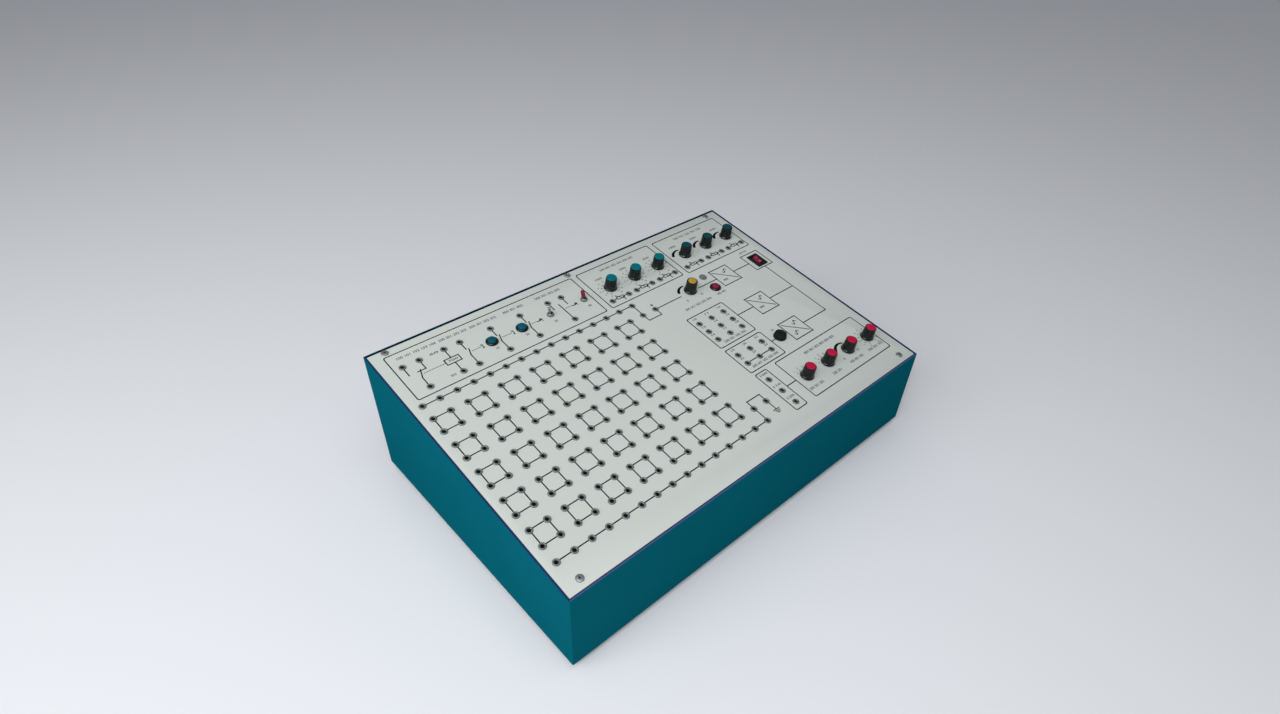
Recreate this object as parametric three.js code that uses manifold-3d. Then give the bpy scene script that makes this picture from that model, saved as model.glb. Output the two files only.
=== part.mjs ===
// Electronics training kit: a folded sheet-metal desk case whose sloping lid is a panel of
// plug sockets, switches, turning controls and power outlets. Millimetres, +Z up.
// The origin is on the table, under the middle of the whole kit; the front is towards -Y.

import * as THREE from "three";
import { mergeGeometries, mergeVertices } from "three/addons/utils/BufferGeometryUtils.js";
import Module from "manifold-3d";

const wasm = await Module();
wasm.setup();

// Gaps and cuts
const seat = 0.3; // gap kept between two pieces that touch
const overrun = 2; // how far a cut runs past the faces it opens
const letIn = 0.5; // how far a pressed or soldered piece is let into what carries it

// Panel layout: everything stands on a grid of sockets
const pitch = 19;
const fieldColumnShare = 25; // width of the laid-out field, in pitches
const fieldRowShare = 14; // its length up the slope, in pitches
const sideMargin = 13.5; // outside of the case to the first socket column
const frontMargin = 34.6; // front edge of the case to the first socket row
const rearMargin = 32.6; // last socket row to the rear edge of the case
const slope = THREE.MathUtils.degToRad(8.7);

// Case
const sheet = 1.5; // wall of the folded case
const frontHeight = 99; // underside of the case to its front rim
const bendRadius = 4; // outside radius of the folds along the bottom
const rimProud = 0.2; // how far the rim stands above the panel
const lugWidth = 22; // welded lugs that take the panel screws
const lugReach = 10; // how far a lug runs past its screw
const lugThickness = 2;

const caseWidth = 2 * sideMargin + fieldColumnShare * pitch;
const slopeLength = frontMargin + fieldRowShare * pitch + rearMargin;
const caseDepth = slopeLength * Math.cos(slope);
const rearHeight = frontHeight + slopeLength * Math.sin(slope);

// Feet
const footHeight = 7;
const footTopRadius = 9;
const footBottomRadius = 7.5;
const footStemRadius = 3;
const footStemGrip = 1.5; // how far the stem runs on inside the case
const footInset = 38; // foot centre to the outside of the case

// Panel and its screws
const panelThickness = 2;
const panelGap = 1; // seam between the panel and the walls
const screwSideInset = 19.8;
const screwFrontInset = 11.6;
const screwRearInset = 6.8;
const screwHeadRadius = 3.9;
const screwHeadHeight = 1.4;
const screwShankRadius = 1.6;
const screwLength = 7;
const screwCrownShare = 0.7; // top of the domed head, of its radius

// Sockets
const socketRadius = 3.7;
const socketBoreRadius = 2;
const socketFloor = 0.5; // insulated end of the bore
const socketHeight = 1.1;

// Turning controls: bushing, can, shaft, knob and coloured cap
const bushingRadius = 4.4;
const bushingProud = 0.4;
const shaftRadius = 3;
const shaftReach = 5; // shaft end below the panel
const shaftEndRoom = 0.8;
const canHeight = 11;
const switchCanRadius = 11;
const potCanRadius = 8.5;
const knobLift = 0.9; // underside of the knob above the panel
const skirtRadius = 8;
const skirtHeight = 1.9;
const shoulderHeight = 0.8;
const knobBaseRadius = 7.2;
const knobTopRadius = 6.4;
const knobHeight = 14.5;
const capThickness = 0.9;
const wideCapRadius = 6.1;
const narrowCapRadius = 5.5;

// Toggle switches
const toggleBushingRadius = 3;
const toggleBushingHeight = 3.4; // above the panel
const togglePivotHeight = 1;
const toggleThroatRadius = 1.75;
const toggleMouthRadius = 2.45;
const toggleWellDepth = 2; // below the pivot
const toggleNutRadius = 4.5;
const toggleNutHeight = 1.8;
const toggleBodyWidth = 8;
const toggleBodyLength = 13;
const toggleBodyDepth = 10;
const leverTailLength = 1.5;
const leverFootRadius = 1.25;
const leverTipRadius = 1.6;
const leverLength = 11.5;
const leverCrown = 0.6;
const leverTilt = THREE.MathUtils.degToRad(14); // lean of both levers at rest
const sleeveWall = 0.5;
const sleeveStart = 4.2; // above the pivot
const sleeveEnd = 1.6; // solid end past the lever

// Push buttons
const buttonRadius = 5;
const buttonProud = 4.6;
const buttonEdge = 1;
const buttonStemDepth = 3;
const buttonTravel = 2;
const buttonBarrelRadius = 6;
const buttonBarrelDepth = 16;
const bezelRadius = 6.9;
const bezelEdge = 1;
const bezelHeight = 2.1;

// Mains rocker switch
const rockerFrameWidth = 16;
const rockerFrameLength = 21.5;
const rockerFrameHeight = 2;
const rockerBodyWidth = 13;
const rockerBodyLength = 18.5;
const rockerBodyDepth = 16;
const rockerWidth = 8;
const rockerLength = 13;
const rockerDrop = 3; // underside of the rocker below its pivot
const rockerPivotDepth = 1; // pivot below the panel face
const rockerCrown = 3.2; // middle of the rocker above its pivot
const rockerTilt = THREE.MathUtils.degToRad(9);
const rockerSideGap = 0.5;

// Fuse holder
const fuseBarrelRadius = 6.2;
const fuseBarrelDepth = 32;
const fuseFlangeRadius = 7.6;
const fuseFlangeHeight = 1.8;
const fuseBoreRadius = 4.6;
const fuseFloor = 2;
const fuseCapRadius = 6.9;
const fuseCapHeight = 3.6;
const fuseCapEdge = 0.7;
const fuseStemRadius = 4.2;
const fuseStemDepth = 7;
const fuseSlotWidth = 1.4;
const fuseSlotDepth = 1;
const fuseLinkRadius = 2.6;
const fuseLinkLength = 20;

// Lamp
const lampRadius = 2.9;
const lampProud = 3.6;
const lampDome = 1.4;
const lampBezelRadius = 4.7;
const lampBezelHeight = 1.6;
const lampBezelEdge = 0.6;
const lampSleeveRadius = 3.6;
const lampDepth = 6;

// Mains inlet in the rear wall
const inletColumnShare = 22.6;
const inletHeight = 44; // centre above the underside of the case
const inletFlangeWidth = 50;
const inletFlangeHeight = 25;
const inletFlangeThickness = 2.5;
const inletFlangeCorner = 6;
const inletBodyWidth = 28;
const inletBodyHeight = 20.5;
const inletBodyDepth = 24;
const inletCorner = 5;
const inletWall = 2;
const inletCavityDepth = 18;
const inletPinLength = 12;
const inletPinWidth = 2;
const inletPinHeight = 4;
const inletPinSpacing = 14;
const inletPinOffset = 2; // the outer pins sit below the middle, the centre pin above it
const inletScrewSpacing = 40;
const inletScrewHeadRadius = 3;
const inletScrewHeadHeight = 1.4;

// Vents in the rear wall
const ventCount = 8;
const ventWidth = 3;
const ventHeight = 36;
const ventStep = 9;
const ventBottom = 30;
const ventColumnShare = 12.5;

// Mains transformer on the case floor
const coreWidth = 66;
const coreHeight = 55;
const coreDepth = 24;
const coreLeg = 11; // outer legs and yokes; the centre leg is twice as wide
const coilBulge = 9; // coil past the faces of the core
const coilCorner = 4;
const strapThickness = 1.2;
const strapWidth = 16;
const strapEar = 12;
const transformerColumnShare = 19.3;
const transformerDepthShare = 0.6;

// Supply board, what stands on it, and the generator board under the panel
const boardThickness = 1.6;
const supplyBoardWidth = 150;
const supplyBoardDepth = 100;
const supplyColumnShare = 5.5;
const supplyDepthShare = 0.42;
const pillarRadius = 3.2; // welded to the case floor
const pillarHeight = 8;
const pillarInset = 7;
const capacitorRadius = 12.5;
const capacitorHeight = 35;
const capacitorShares = [0.2, 0.5]; // of the board's width and depth
const sinkLength = 60;
const sinkFinCount = 6;
const sinkFinStep = 5;
const sinkFinThickness = 1.6;
const sinkBase = 3;
const sinkHeight = 30;
const sinkShares = [0.72, 0.55];
const relayWidth = 28;
const relayDepth = 12;
const relayHeight = 16;
const relayShares = [0.62, 0.12];
const generatorBoardLength = 38; // up the slope
const generatorBoardEnd = 14; // past the outer controls

// Facets of each kind of round piece
const sides = { hex: 6, fine: 8, knob: 10, round: 10 };

// Places on the panel, in pitches from the first socket: [column share, row share]
const switchSocketShares = [
  [0.55, 13.92], [1.52, 13.92], [1.03, 11.96], [3, 13.92], [3, 11.96], [3.98, 13.92], [3.98, 11.96],
  [5.96, 13.92], [5.96, 11.96], [7.95, 13.92], [7.95, 11.96], [9.93, 13.92], [10.91, 13.92],
  [10.44, 11.96],
];
const decadeShares = [[13.98, 13], [15.95, 13], [17.92, 13]];
const decadePairShares = { columns: [13.95, 15.88, 17.83], row: 11.96, half: 0.647 };
const potShares = [[20.32, 12.95], [22.25, 12.95], [24.17, 12.95]];
const potPairShares = { columns: [20.19, 22.12, 24.03], row: 11.91, half: 0.637 };
const sourceKnobShare = [18.01, 10.07];
const generatorShares = [[18.46, 0.93], [20.39, 0.93], [22.32, 0.93], [24.24, 0.93]];
const directColumnShares = [16.33, 17.36, 18.4];
const directRowShares = [7.54, 6.75, 5.97];
const alternatingRowShares = [4.37, 3.59];
const generatorSocketShares = [[16.37, 2], [16.37, 1], [16.37, 0]];
const buttonShares = [[5.46, 13], [7.46, 13], [19.64, 9.45]];
const toggleShares = [[9.47, 13.02], [11.94, 13.02]];
const rockerShare = [24.11, 9.9];
const lampShare = [19.66, 10.6];
const fuseShare = [19.65, 4.03];

// Finishes
function finish(color, roughness, metalness) {
  return new THREE.MeshStandardMaterial({ color, roughness, metalness });
}

const teal = 0x04606f;
const pale = 0xc8cdcb;
const black = 0x1c1e20;
const nickel = 0x8a8d90;
const red = 0xb81c40;
const boardGreen = 0x1d5a34;

// Shape helpers
function bare(geometry) {
  const loose = geometry.index ? geometry.toNonIndexed() : geometry.clone();
  loose.deleteAttribute("normal");
  loose.deleteAttribute("uv");
  return loose;
}

function toSolid(geometry) {
  const welded = mergeVertices(bare(geometry));
  const corners = Array.from(welded.index.array);
  const kept = [];
  for (let i = 0; i < corners.length; i += 3) {
    const [a, b, c] = corners.slice(i, i + 3);
    if (a !== b && b !== c && c !== a) kept.push(a, b, c);
  }
  return new wasm.Manifold(new wasm.Mesh({
    numProp: 3,
    vertProperties: new Float32Array(welded.attributes.position.array),
    triVerts: new Uint32Array(kept),
  }));
}

function toGeometry(solid) {
  const { vertProperties, triVerts } = solid.getMesh();
  const geometry = new THREE.BufferGeometry();
  geometry.setAttribute("position", new THREE.BufferAttribute(vertProperties, 3));
  geometry.setIndex(new THREE.BufferAttribute(triVerts, 1));
  return bare(geometry);
}

function cut(geometry, ...tools) {
  return toGeometry(tools.reduce((solid, tool) => solid.subtract(toSolid(tool)), toSolid(geometry)));
}

function join(...geometries) {
  return toGeometry(geometries.map(toSolid).reduce((a, b) => a.add(b)));
}

// Copies of one shape at several places, as tools for one join or cut
function spread(geometry, places) {
  return mergeGeometries(places.map(([x, y]) => bare(geometry).translate(x, y, 0)));
}

// A body turned about the local Z axis, from a profile of [radius, height] points
function turned(profile, sideCount) {
  const points = profile.map(([radius, height]) => new THREE.Vector2(radius, height));
  return bare(new THREE.LatheGeometry(points, sideCount)).rotateX(Math.PI / 2);
}

// A block between two opposite corners
function block(low, high) {
  const size = high.map((value, axis) => value - low[axis]);
  const centre = high.map((value, axis) => (value + low[axis]) / 2);
  return bare(new THREE.BoxGeometry(...size)).translate(...centre);
}

function centredBlock(width, length, low, high) {
  return block([-width / 2, -length / 2, low], [width / 2, length / 2, high]);
}

// Radius of a faceted hole whose flats still clear a round piece
function holeRadius(radius, sideCount) {
  return (radius + seat) / Math.cos(Math.PI / sideCount);
}

function outline(points) {
  return new THREE.Shape(points.map(([x, y]) => new THREE.Vector2(x, y)));
}

function ring(radius, sideCount, [x, y] = [0, 0]) {
  const corners = Array.from({ length: sideCount }, (_, i) => (2 * Math.PI * i) / sideCount);
  return corners.map((angle) => [x + radius * Math.cos(angle), y + radius * Math.sin(angle)]);
}

function extruded(shape, depth, curveSegments = 1) {
  return bare(new THREE.ExtrudeGeometry(shape, { depth, curveSegments, bevelEnabled: false }));
}

function prism(radius, low, high, sideCount) {
  return extruded(outline(ring(radius, sideCount)), high - low).translate(0, 0, low);
}

// Stands a side view, drawn in (Y, Z), across X with its middle on the origin
function acrossX(sideView, width, curveSegments) {
  const turn = new THREE.Matrix4().makeBasis(new THREE.Vector3(0, 1, 0), new THREE.Vector3(0, 0, 1),
    new THREE.Vector3(1, 0, 0));
  return extruded(sideView, width, curveSegments).translate(0, 0, -width / 2).applyMatrix4(turn);
}

// A rectangle centred on the origin with its upper corners, or all four, cut off
function chamfered(width, height, corner, lowCorner) {
  const [x, y] = [width / 2, height / 2];
  const points = [[x, lowCorner - y], [x, y - corner], [x - corner, y], [corner - x, y],
    [-x, y - corner], [-x, lowCorner - y]];
  if (lowCorner) points.push([lowCorner - x, -y], [x - lowCorner, -y]);
  return outline(points);
}

function spot([columnShare, rowShare]) {
  return [sideMargin + columnShare * pitch, frontMargin + rowShare * pitch];
}

// The scene graph: the case stands on its feet, and the panel group lies on the slope
const kit = new THREE.Group();
const caseFrame = new THREE.Group();
const panelFrame = new THREE.Group();
const rearProud = seat + inletFlangeThickness + inletScrewHeadHeight;
caseFrame.position.set(-caseWidth / 2, -(caseDepth + rearProud) / 2, footHeight);
panelFrame.rotation.x = slope;
panelFrame.position.set(0, rimProud * Math.sin(slope), frontHeight - rimProud * Math.cos(slope));
kit.add(caseFrame);
caseFrame.add(panelFrame);

function add(parent, name, geometry, material) {
  geometry.computeVertexNormals();
  const mesh = new THREE.Mesh(geometry, material);
  mesh.name = name;
  parent.add(mesh);
  return mesh;
}

function addOnPanel(name, share, geometry, material) {
  const mesh = add(panelFrame, name, geometry, material);
  mesh.position.set(...spot(share), 0);
  return mesh;
}

// Where the panel lies between the walls, and where its screws go
const panelLeft = sheet + panelGap;
const panelRight = caseWidth - sheet - panelGap;
const panelFront = (sheet + panelGap) / Math.cos(slope);
const panelSunk = rimProud + panelThickness;
const panelRear = (caseDepth - sheet - panelGap - panelSunk * Math.sin(slope)) / Math.cos(slope);
const belowPanel = -panelThickness - seat;
const screwPlaces = [
  [screwSideInset, screwFrontInset], [caseWidth - screwSideInset, screwFrontInset],
  [screwSideInset, slopeLength - screwRearInset], [caseWidth / 2, slopeLength - screwRearInset],
  [caseWidth - screwSideInset, slopeLength - screwRearInset],
];

// Case: one folded tray, its bottom edges bent to a radius, with lugs welded under the rim
function trayView(length, lowRim, highRim, radius, inset) {
  const shape = new THREE.Shape();
  const [start, end] = [inset, length - inset];
  shape.moveTo(end, highRim);
  shape.lineTo(start, lowRim);
  shape.absarc(start + radius, inset + radius, radius, Math.PI, 1.5 * Math.PI, false);
  shape.absarc(end - radius, inset + radius, radius, 1.5 * Math.PI, 2 * Math.PI, false);
  return shape;
}

function tray(radius, inset, lowRim, highRim) {
  const bendSteps = 3;
  const tall = 2 * rearHeight;
  const fromSide = acrossX(trayView(caseDepth, lowRim, highRim, radius, inset), caseWidth, bendSteps)
    .translate(caseWidth / 2, 0, 0);
  const fromFront = extruded(trayView(caseWidth, tall, tall, radius, inset), caseDepth, bendSteps)
    .rotateX(Math.PI / 2).translate(0, caseDepth, 0);
  return toSolid(fromSide).intersect(toSolid(fromFront));
}

function lug([u, v]) {
  const atFront = v < slopeLength / 2;
  const wallMiddle = sheet / 2;
  const topShift = (rimProud - belowPanel) * Math.sin(slope);
  const lowShift = (rimProud - belowPanel + lugThickness) * Math.sin(slope);
  const near = atFront ? (wallMiddle - topShift) / Math.cos(slope) : v - lugReach;
  const far = atFront ? v + lugReach : (caseDepth - wallMiddle - lowShift) / Math.cos(slope);
  const plate = block([u - lugWidth / 2, near, belowPanel - lugThickness],
    [u + lugWidth / 2, far, belowPanel]);
  const drill = prism(holeRadius(screwShankRadius, sides.hex), -screwLength, overrun, sides.hex);
  return cut(plate, drill.translate(u, v, 0)).applyMatrix4(panelFrame.matrix);
}

const footPlaces = {
  front_left: [footInset, footInset],
  front_right: [caseWidth - footInset, footInset],
  rear_left: [footInset, caseDepth - footInset],
  rear_right: [caseWidth - footInset, caseDepth - footInset],
};
const inletX = sideMargin + inletColumnShare * pitch;
const [boardX, boardY] = [sideMargin + supplyColumnShare * pitch, supplyDepthShare * caseDepth];

function pillarPlaces() {
  const places = [];
  for (const x of [pillarInset, supplyBoardWidth - pillarInset]) {
    for (const y of [pillarInset, supplyBoardDepth - pillarInset]) places.push([boardX + x, boardY + y]);
  }
  return places;
}

function caseCuts() {
  const [inside, outside] = [caseDepth - sheet - overrun, caseDepth + overrun];
  const halfWidth = inletBodyWidth / 2 + seat;
  const halfHeight = inletBodyHeight / 2 + seat;
  const inletHole = block([inletX - halfWidth, inside, inletHeight - halfHeight],
    [inletX + halfWidth, outside, inletHeight + halfHeight]);
  const firstVent = sideMargin + ventColumnShare * pitch - (ventCount * ventStep) / 2;
  const vents = Array.from({ length: ventCount }, (_, i) => firstVent + i * ventStep).map((x) => (
    block([x, inside, ventBottom], [x + ventWidth, outside, ventBottom + ventHeight])));
  const stemHole = prism(holeRadius(footStemRadius, sides.fine), -overrun, sheet + overrun, sides.fine);
  return [inletHole, ...vents, spread(stemHole, Object.values(footPlaces))];
}

function caseShell() {
  const tall = 2 * rearHeight;
  const shell = tray(bendRadius, 0, frontHeight, rearHeight)
    .subtract(tray(bendRadius - sheet, sheet, tall, tall));
  const pillar = prism(pillarRadius, sheet - letIn, sheet + pillarHeight, sides.hex);
  panelFrame.updateMatrix();
  return cut(join(toGeometry(shell), ...screwPlaces.map(lug), spread(pillar, pillarPlaces())),
    ...caseCuts());
}

add(caseFrame, "case_shell", caseShell(), finish(teal, 0.5, 0.15));

const foot = turned([
  [0, -footHeight], [footBottomRadius, -footHeight], [footTopRadius, -seat],
  [footStemRadius, -seat], [footStemRadius, sheet + footStemGrip], [0, sheet + footStemGrip],
], sides.fine);
for (const [corner, [x, y]] of Object.entries(footPlaces)) {
  add(caseFrame, `foot_${corner}`, foot.clone(), finish(0x202224, 0.9, 0)).position.set(x, y, 0);
}

// What the turning controls are, where they are and what colour their caps are
const knobs = [
  ...decadeShares.map((share, i) => (
    { name: `decade_knob_${i + 1}`, share, cap: wideCapRadius, color: 0x00787f })),
  ...potShares.map((share, i) => (
    { name: `resistor_knob_${i + 1}`, share, cap: narrowCapRadius, color: 0x14505a })),
  { name: "source_knob", share: sourceKnobShare, cap: narrowCapRadius, color: 0xc89a30 },
  ...["waveform_knob", "range_knob", "amplitude_knob", "frequency_knob"].map((name, i) => (
    { name, share: generatorShares[i], cap: narrowCapRadius, color: red })),
];

// Panel: drilled for what it carries, with the socket bushes pressed in and its screws in place
function hole(share, radius, sideCount) {
  return outline(ring(holeRadius(radius, sideCount), sideCount, spot(share)));
}

function rockerWindow() {
  const [x, y] = spot(rockerShare);
  const [halfWidth, halfLength] = [rockerBodyWidth / 2 + seat, rockerBodyLength / 2 + seat];
  return outline([[x - halfWidth, y - halfLength], [x + halfWidth, y - halfLength],
    [x + halfWidth, y + halfLength], [x - halfWidth, y + halfLength]]);
}

function panelPlate() {
  const shape = outline([[panelLeft, panelFront], [panelRight, panelFront],
    [panelRight, panelRear], [panelLeft, panelRear]]);
  shape.holes = [
    ...knobs.map(({ share }) => hole(share, bushingRadius, sides.hex)),
    ...toggleShares.map((share) => hole(share, toggleBushingRadius, sides.fine)),
    ...buttonShares.map((share) => hole(share, buttonBarrelRadius, sides.fine)),
    hole(lampShare, lampSleeveRadius, sides.fine),
    hole(fuseShare, fuseBarrelRadius, sides.fine),
    rockerWindow(),
  ];
  return extruded(shape, panelThickness).translate(0, 0, -panelThickness);
}

function gridShares() {
  const [groupColumns, groupRows] = [7, 5];
  const shares = [];
  for (let column = 0; column < 2 * groupColumns; column++) {
    for (let row = 1; row <= 2 * groupRows; row++) shares.push([column, row]);
  }
  return shares;
}

function railShares() {
  const [railLength, lowRail, highRail] = [15, 0, 11];
  const shares = [];
  for (const [rail, beside] of [[lowRail, 1], [highRail, -1]]) {
    for (let column = 0; column < railLength; column++) shares.push([column, rail]);
    shares.push([railLength - 1, rail + beside], [railLength, rail + beside]);
  }
  return shares;
}

// A pair of sockets under each control: half is half the distance between them
function pairShares({ columns, row, half }) {
  return columns.flatMap((column) => [[column - half, row], [column + half, row]]);
}

function supplyShares() {
  const rows = [...directRowShares, ...alternatingRowShares];
  return directColumnShares.flatMap((column) => rows.map((row) => [column, row]));
}

const socketPlaces = [
  ...gridShares(), ...railShares(), ...switchSocketShares,
  ...pairShares(decadePairShares), ...pairShares(potPairShares), ...supplyShares(), ...generatorSocketShares,
].map(spot);
const collar = prism(socketRadius, -letIn, socketHeight, sides.hex);
const socketBore = prism(socketBoreRadius, socketFloor - panelThickness, socketHeight + overrun, sides.hex);
const panelScrew = turned([
  [0, -screwLength], [screwShankRadius, -screwLength], [screwShankRadius, -letIn],
  [screwHeadRadius, -letIn], [screwHeadRadius, 0], [screwHeadRadius * screwCrownShare, screwHeadHeight],
  [0, screwHeadHeight],
], sides.hex);
add(panelFrame, "top_panel", cut(
  join(panelPlate(), spread(collar, socketPlaces), spread(panelScrew, screwPlaces)),
  spread(socketBore, socketPlaces),
), finish(pale, 0.55, 0.1));

// Turning controls: a can with its bushing, a knob on its shaft, and the coloured cap
const shaftBore = holeRadius(shaftRadius, sides.hex);
const shaftEnd = -panelThickness - shaftReach;
const canBottom = belowPanel - canHeight;

function can(radius) {
  return turned([
    [0, canBottom], [radius, canBottom], [radius, belowPanel], [bushingRadius, belowPanel],
    [bushingRadius, bushingProud], [shaftBore, bushingProud], [shaftBore, shaftEnd - shaftEndRoom],
    [0, shaftEnd - shaftEndRoom],
  ], sides.hex);
}

const knobTop = knobLift + knobHeight;
const knobBody = turned([
  [0, shaftEnd], [shaftRadius, shaftEnd], [shaftRadius, knobLift], [skirtRadius, knobLift],
  [skirtRadius, knobLift + skirtHeight], [knobBaseRadius, knobLift + skirtHeight + shoulderHeight],
  [knobTopRadius, knobTop], [0, knobTop],
], sides.knob);

for (const { name, share, cap, color } of knobs) {
  addOnPanel(name, share, knobBody.clone(), finish(black, 0.3, 0));
  addOnPanel(name.replace("knob", "cap"), share,
    prism(cap, knobTop + seat, knobTop + seat + capThickness, sides.knob), finish(color, 0.45, 0));
}

decadeShares.forEach((share, i) => {
  addOnPanel(`decade_switch_${i + 1}`, share, can(switchCanRadius), finish(0x3a3f44, 0.6, 0));
});
potShares.forEach((share, i) => {
  addOnPanel(`resistor_pot_${i + 1}`, share, can(potCanRadius), finish(nickel, 0.5, 0.7));
});
addOnPanel("source_pot", sourceKnobShare, can(potCanRadius), finish(nickel, 0.5, 0.7));

// Generator board, with its two switches and two potentiometers soldered in
function generatorBoard() {
  const places = generatorShares.map(spot);
  const [firstX, middleY] = places[0];
  const [lastX] = places[places.length - 1];
  const boardTop = canBottom + letIn;
  const board = block([firstX - generatorBoardEnd, middleY - generatorBoardLength / 2,
    boardTop - boardThickness], [lastX + generatorBoardEnd, middleY + generatorBoardLength / 2, boardTop]);
  const cans = places.map(([x, y], i) => (
    can(i < places.length / 2 ? switchCanRadius : potCanRadius).translate(x, y, 0)));
  return join(board, ...cans);
}

add(panelFrame, "generator_board", generatorBoard(), finish(boardGreen, 0.6, 0));

// Toggle switches: the lever rocks in a flared bushing held by a hexagon nut
const throat = toggleThroatRadius / Math.cos(Math.PI / sides.fine);
const mouth = toggleMouthRadius / Math.cos(Math.PI / sides.fine);
const toggleWell = togglePivotHeight - toggleWellDepth;
const toggleBushing = turned([
  [0, belowPanel - letIn], [toggleBushingRadius, belowPanel - letIn],
  [toggleBushingRadius, toggleBushingHeight], [mouth, toggleBushingHeight], [throat, togglePivotHeight],
  [throat, toggleWell], [0, toggleWell],
], sides.fine);
const toggleNut = cut(prism(toggleNutRadius, seat, seat + toggleNutHeight, sides.hex),
  prism(toggleBushingRadius - letIn, 0, seat + toggleNutHeight + overrun, sides.fine));
const toggleBody = join(toggleBushing, toggleNut,
  centredBlock(toggleBodyLength, toggleBodyWidth, belowPanel - toggleBodyDepth, belowPanel));
toggleShares.forEach((share, i) => {
  addOnPanel(`toggle_body_${i + 1}`, share, toggleBody.clone(), finish(nickel, 0.3, 0.9));
});

const lever = turned([
  [0, -leverTailLength], [leverFootRadius, -leverTailLength], [leverFootRadius, 0],
  [leverTipRadius, leverLength - leverCrown], [leverTipRadius - leverCrown, leverLength], [0, leverLength],
], sides.fine);

function addLever(name, share, geometry, material) {
  const mesh = addOnPanel(name, share, geometry, material);
  mesh.position.z = togglePivotHeight;
  mesh.rotation.y = -leverTilt;
}

const sleeveBore = holeRadius(leverTipRadius, sides.fine);
const sleeveRadius = sleeveBore + sleeveWall;
const sleeveInside = leverLength + seat;
const sleeveTop = sleeveInside + sleeveEnd;
const sleeve = turned([
  [0, sleeveInside], [sleeveBore, sleeveInside], [sleeveBore, sleeveStart], [sleeveRadius, sleeveStart],
  [sleeveRadius, sleeveTop - sleeveWall], [sleeveRadius - sleeveWall, sleeveTop], [0, sleeveTop],
], sides.fine);
toggleShares.forEach((share, i) => {
  addLever(`toggle_lever_${i + 1}`, share, lever.clone(), finish(nickel, 0.2, 1));
});
addLever("toggle_sleeve", toggleShares[1], sleeve, finish(red, 0.5, 0));

// Push buttons: a cap that sinks into a bezel with a barrel behind the panel
const buttonBore = holeRadius(buttonRadius, sides.round);
const buttonWell = -buttonStemDepth - buttonTravel - seat;
const buttonHousing = turned([
  [0, -buttonBarrelDepth], [buttonBarrelRadius, -buttonBarrelDepth], [buttonBarrelRadius, seat],
  [bezelRadius, seat], [bezelRadius, bezelHeight - bezelEdge], [bezelRadius - bezelEdge, bezelHeight],
  [buttonBore, bezelHeight], [buttonBore, buttonWell], [0, buttonWell],
], sides.round);
const buttonCap = turned([
  [0, -buttonStemDepth], [buttonRadius, -buttonStemDepth], [buttonRadius, buttonProud - buttonEdge],
  [buttonRadius - buttonEdge, buttonProud], [0, buttonProud],
], sides.round);
["push_button_1", "push_button_2", "reset_button"].forEach((name, i) => {
  addOnPanel(`${name}_housing`, buttonShares[i], buttonHousing.clone(), finish(black, 0.35, 0));
  addOnPanel(`${name}_cap`, buttonShares[i], buttonCap.clone(),
    finish(name === "reset_button" ? red : 0x0b5b75, 0.3, 0));
});

// Mains rocker: a shallow V-topped rocker in a raised frame
const rockerEnd = rockerLength / 2;
const rockerRise = rockerCrown + rockerEnd * Math.tan(rockerTilt);
const rockerSwing = Math.hypot(rockerEnd, Math.max(rockerRise, rockerDrop)) + seat;
const rockerWell = rockerPivotDepth + rockerDrop + rockerEnd * Math.sin(rockerTilt) + seat;
const rockerFrame = cut(join(
  centredBlock(rockerFrameWidth, rockerFrameLength, seat, rockerFrameHeight),
  centredBlock(rockerBodyWidth, rockerBodyLength, -rockerBodyDepth, seat + letIn),
), centredBlock(rockerWidth + 2 * rockerSideGap, 2 * rockerSwing, -rockerWell,
  rockerFrameHeight + overrun));
addOnPanel("rocker_frame", rockerShare, rockerFrame, finish(black, 0.35, 0));
const rocker = addOnPanel("rocker", rockerShare, acrossX(outline([
  [-rockerEnd, -rockerDrop], [rockerEnd, -rockerDrop], [rockerEnd, rockerRise], [0, rockerCrown],
  [-rockerEnd, rockerRise],
]), rockerWidth), finish(red, 0.35, 0));
rocker.position.z = -rockerPivotDepth;
rocker.rotation.x = rockerTilt;

// Fuse holder, and its screwdriver cap with the glass link clipped into it
const fuseBore = fuseBoreRadius / Math.cos(Math.PI / sides.round);
addOnPanel("fuse_holder", fuseShare, turned([
  [0, -fuseBarrelDepth], [fuseBarrelRadius, -fuseBarrelDepth], [fuseBarrelRadius, seat],
  [fuseFlangeRadius, seat], [fuseFlangeRadius, fuseFlangeHeight], [fuseBore, fuseFlangeHeight],
  [fuseBore, fuseFloor - fuseBarrelDepth], [0, fuseFloor - fuseBarrelDepth],
], sides.round), finish(black, 0.4, 0));
const fuseCapLow = fuseFlangeHeight + seat;
const fuseCapTop = fuseCapLow + fuseCapHeight;
const fuseCap = turned([
  [0, -fuseStemDepth - fuseLinkLength],
  [fuseLinkRadius, -fuseStemDepth - fuseLinkLength], [fuseLinkRadius, -fuseStemDepth],
  [fuseStemRadius, -fuseStemDepth], [fuseStemRadius, fuseCapLow], [fuseCapRadius, fuseCapLow],
  [fuseCapRadius, fuseCapTop - fuseCapEdge], [fuseCapRadius - fuseCapEdge, fuseCapTop], [0, fuseCapTop],
], sides.round);
const fuseSlot = centredBlock(fuseSlotWidth, 2 * fuseCapRadius + overrun, fuseCapTop - fuseSlotDepth,
  fuseCapTop + overrun);
addOnPanel("fuse_cap", fuseShare, cut(fuseCap, fuseSlot), finish(black, 0.4, 0));

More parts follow.
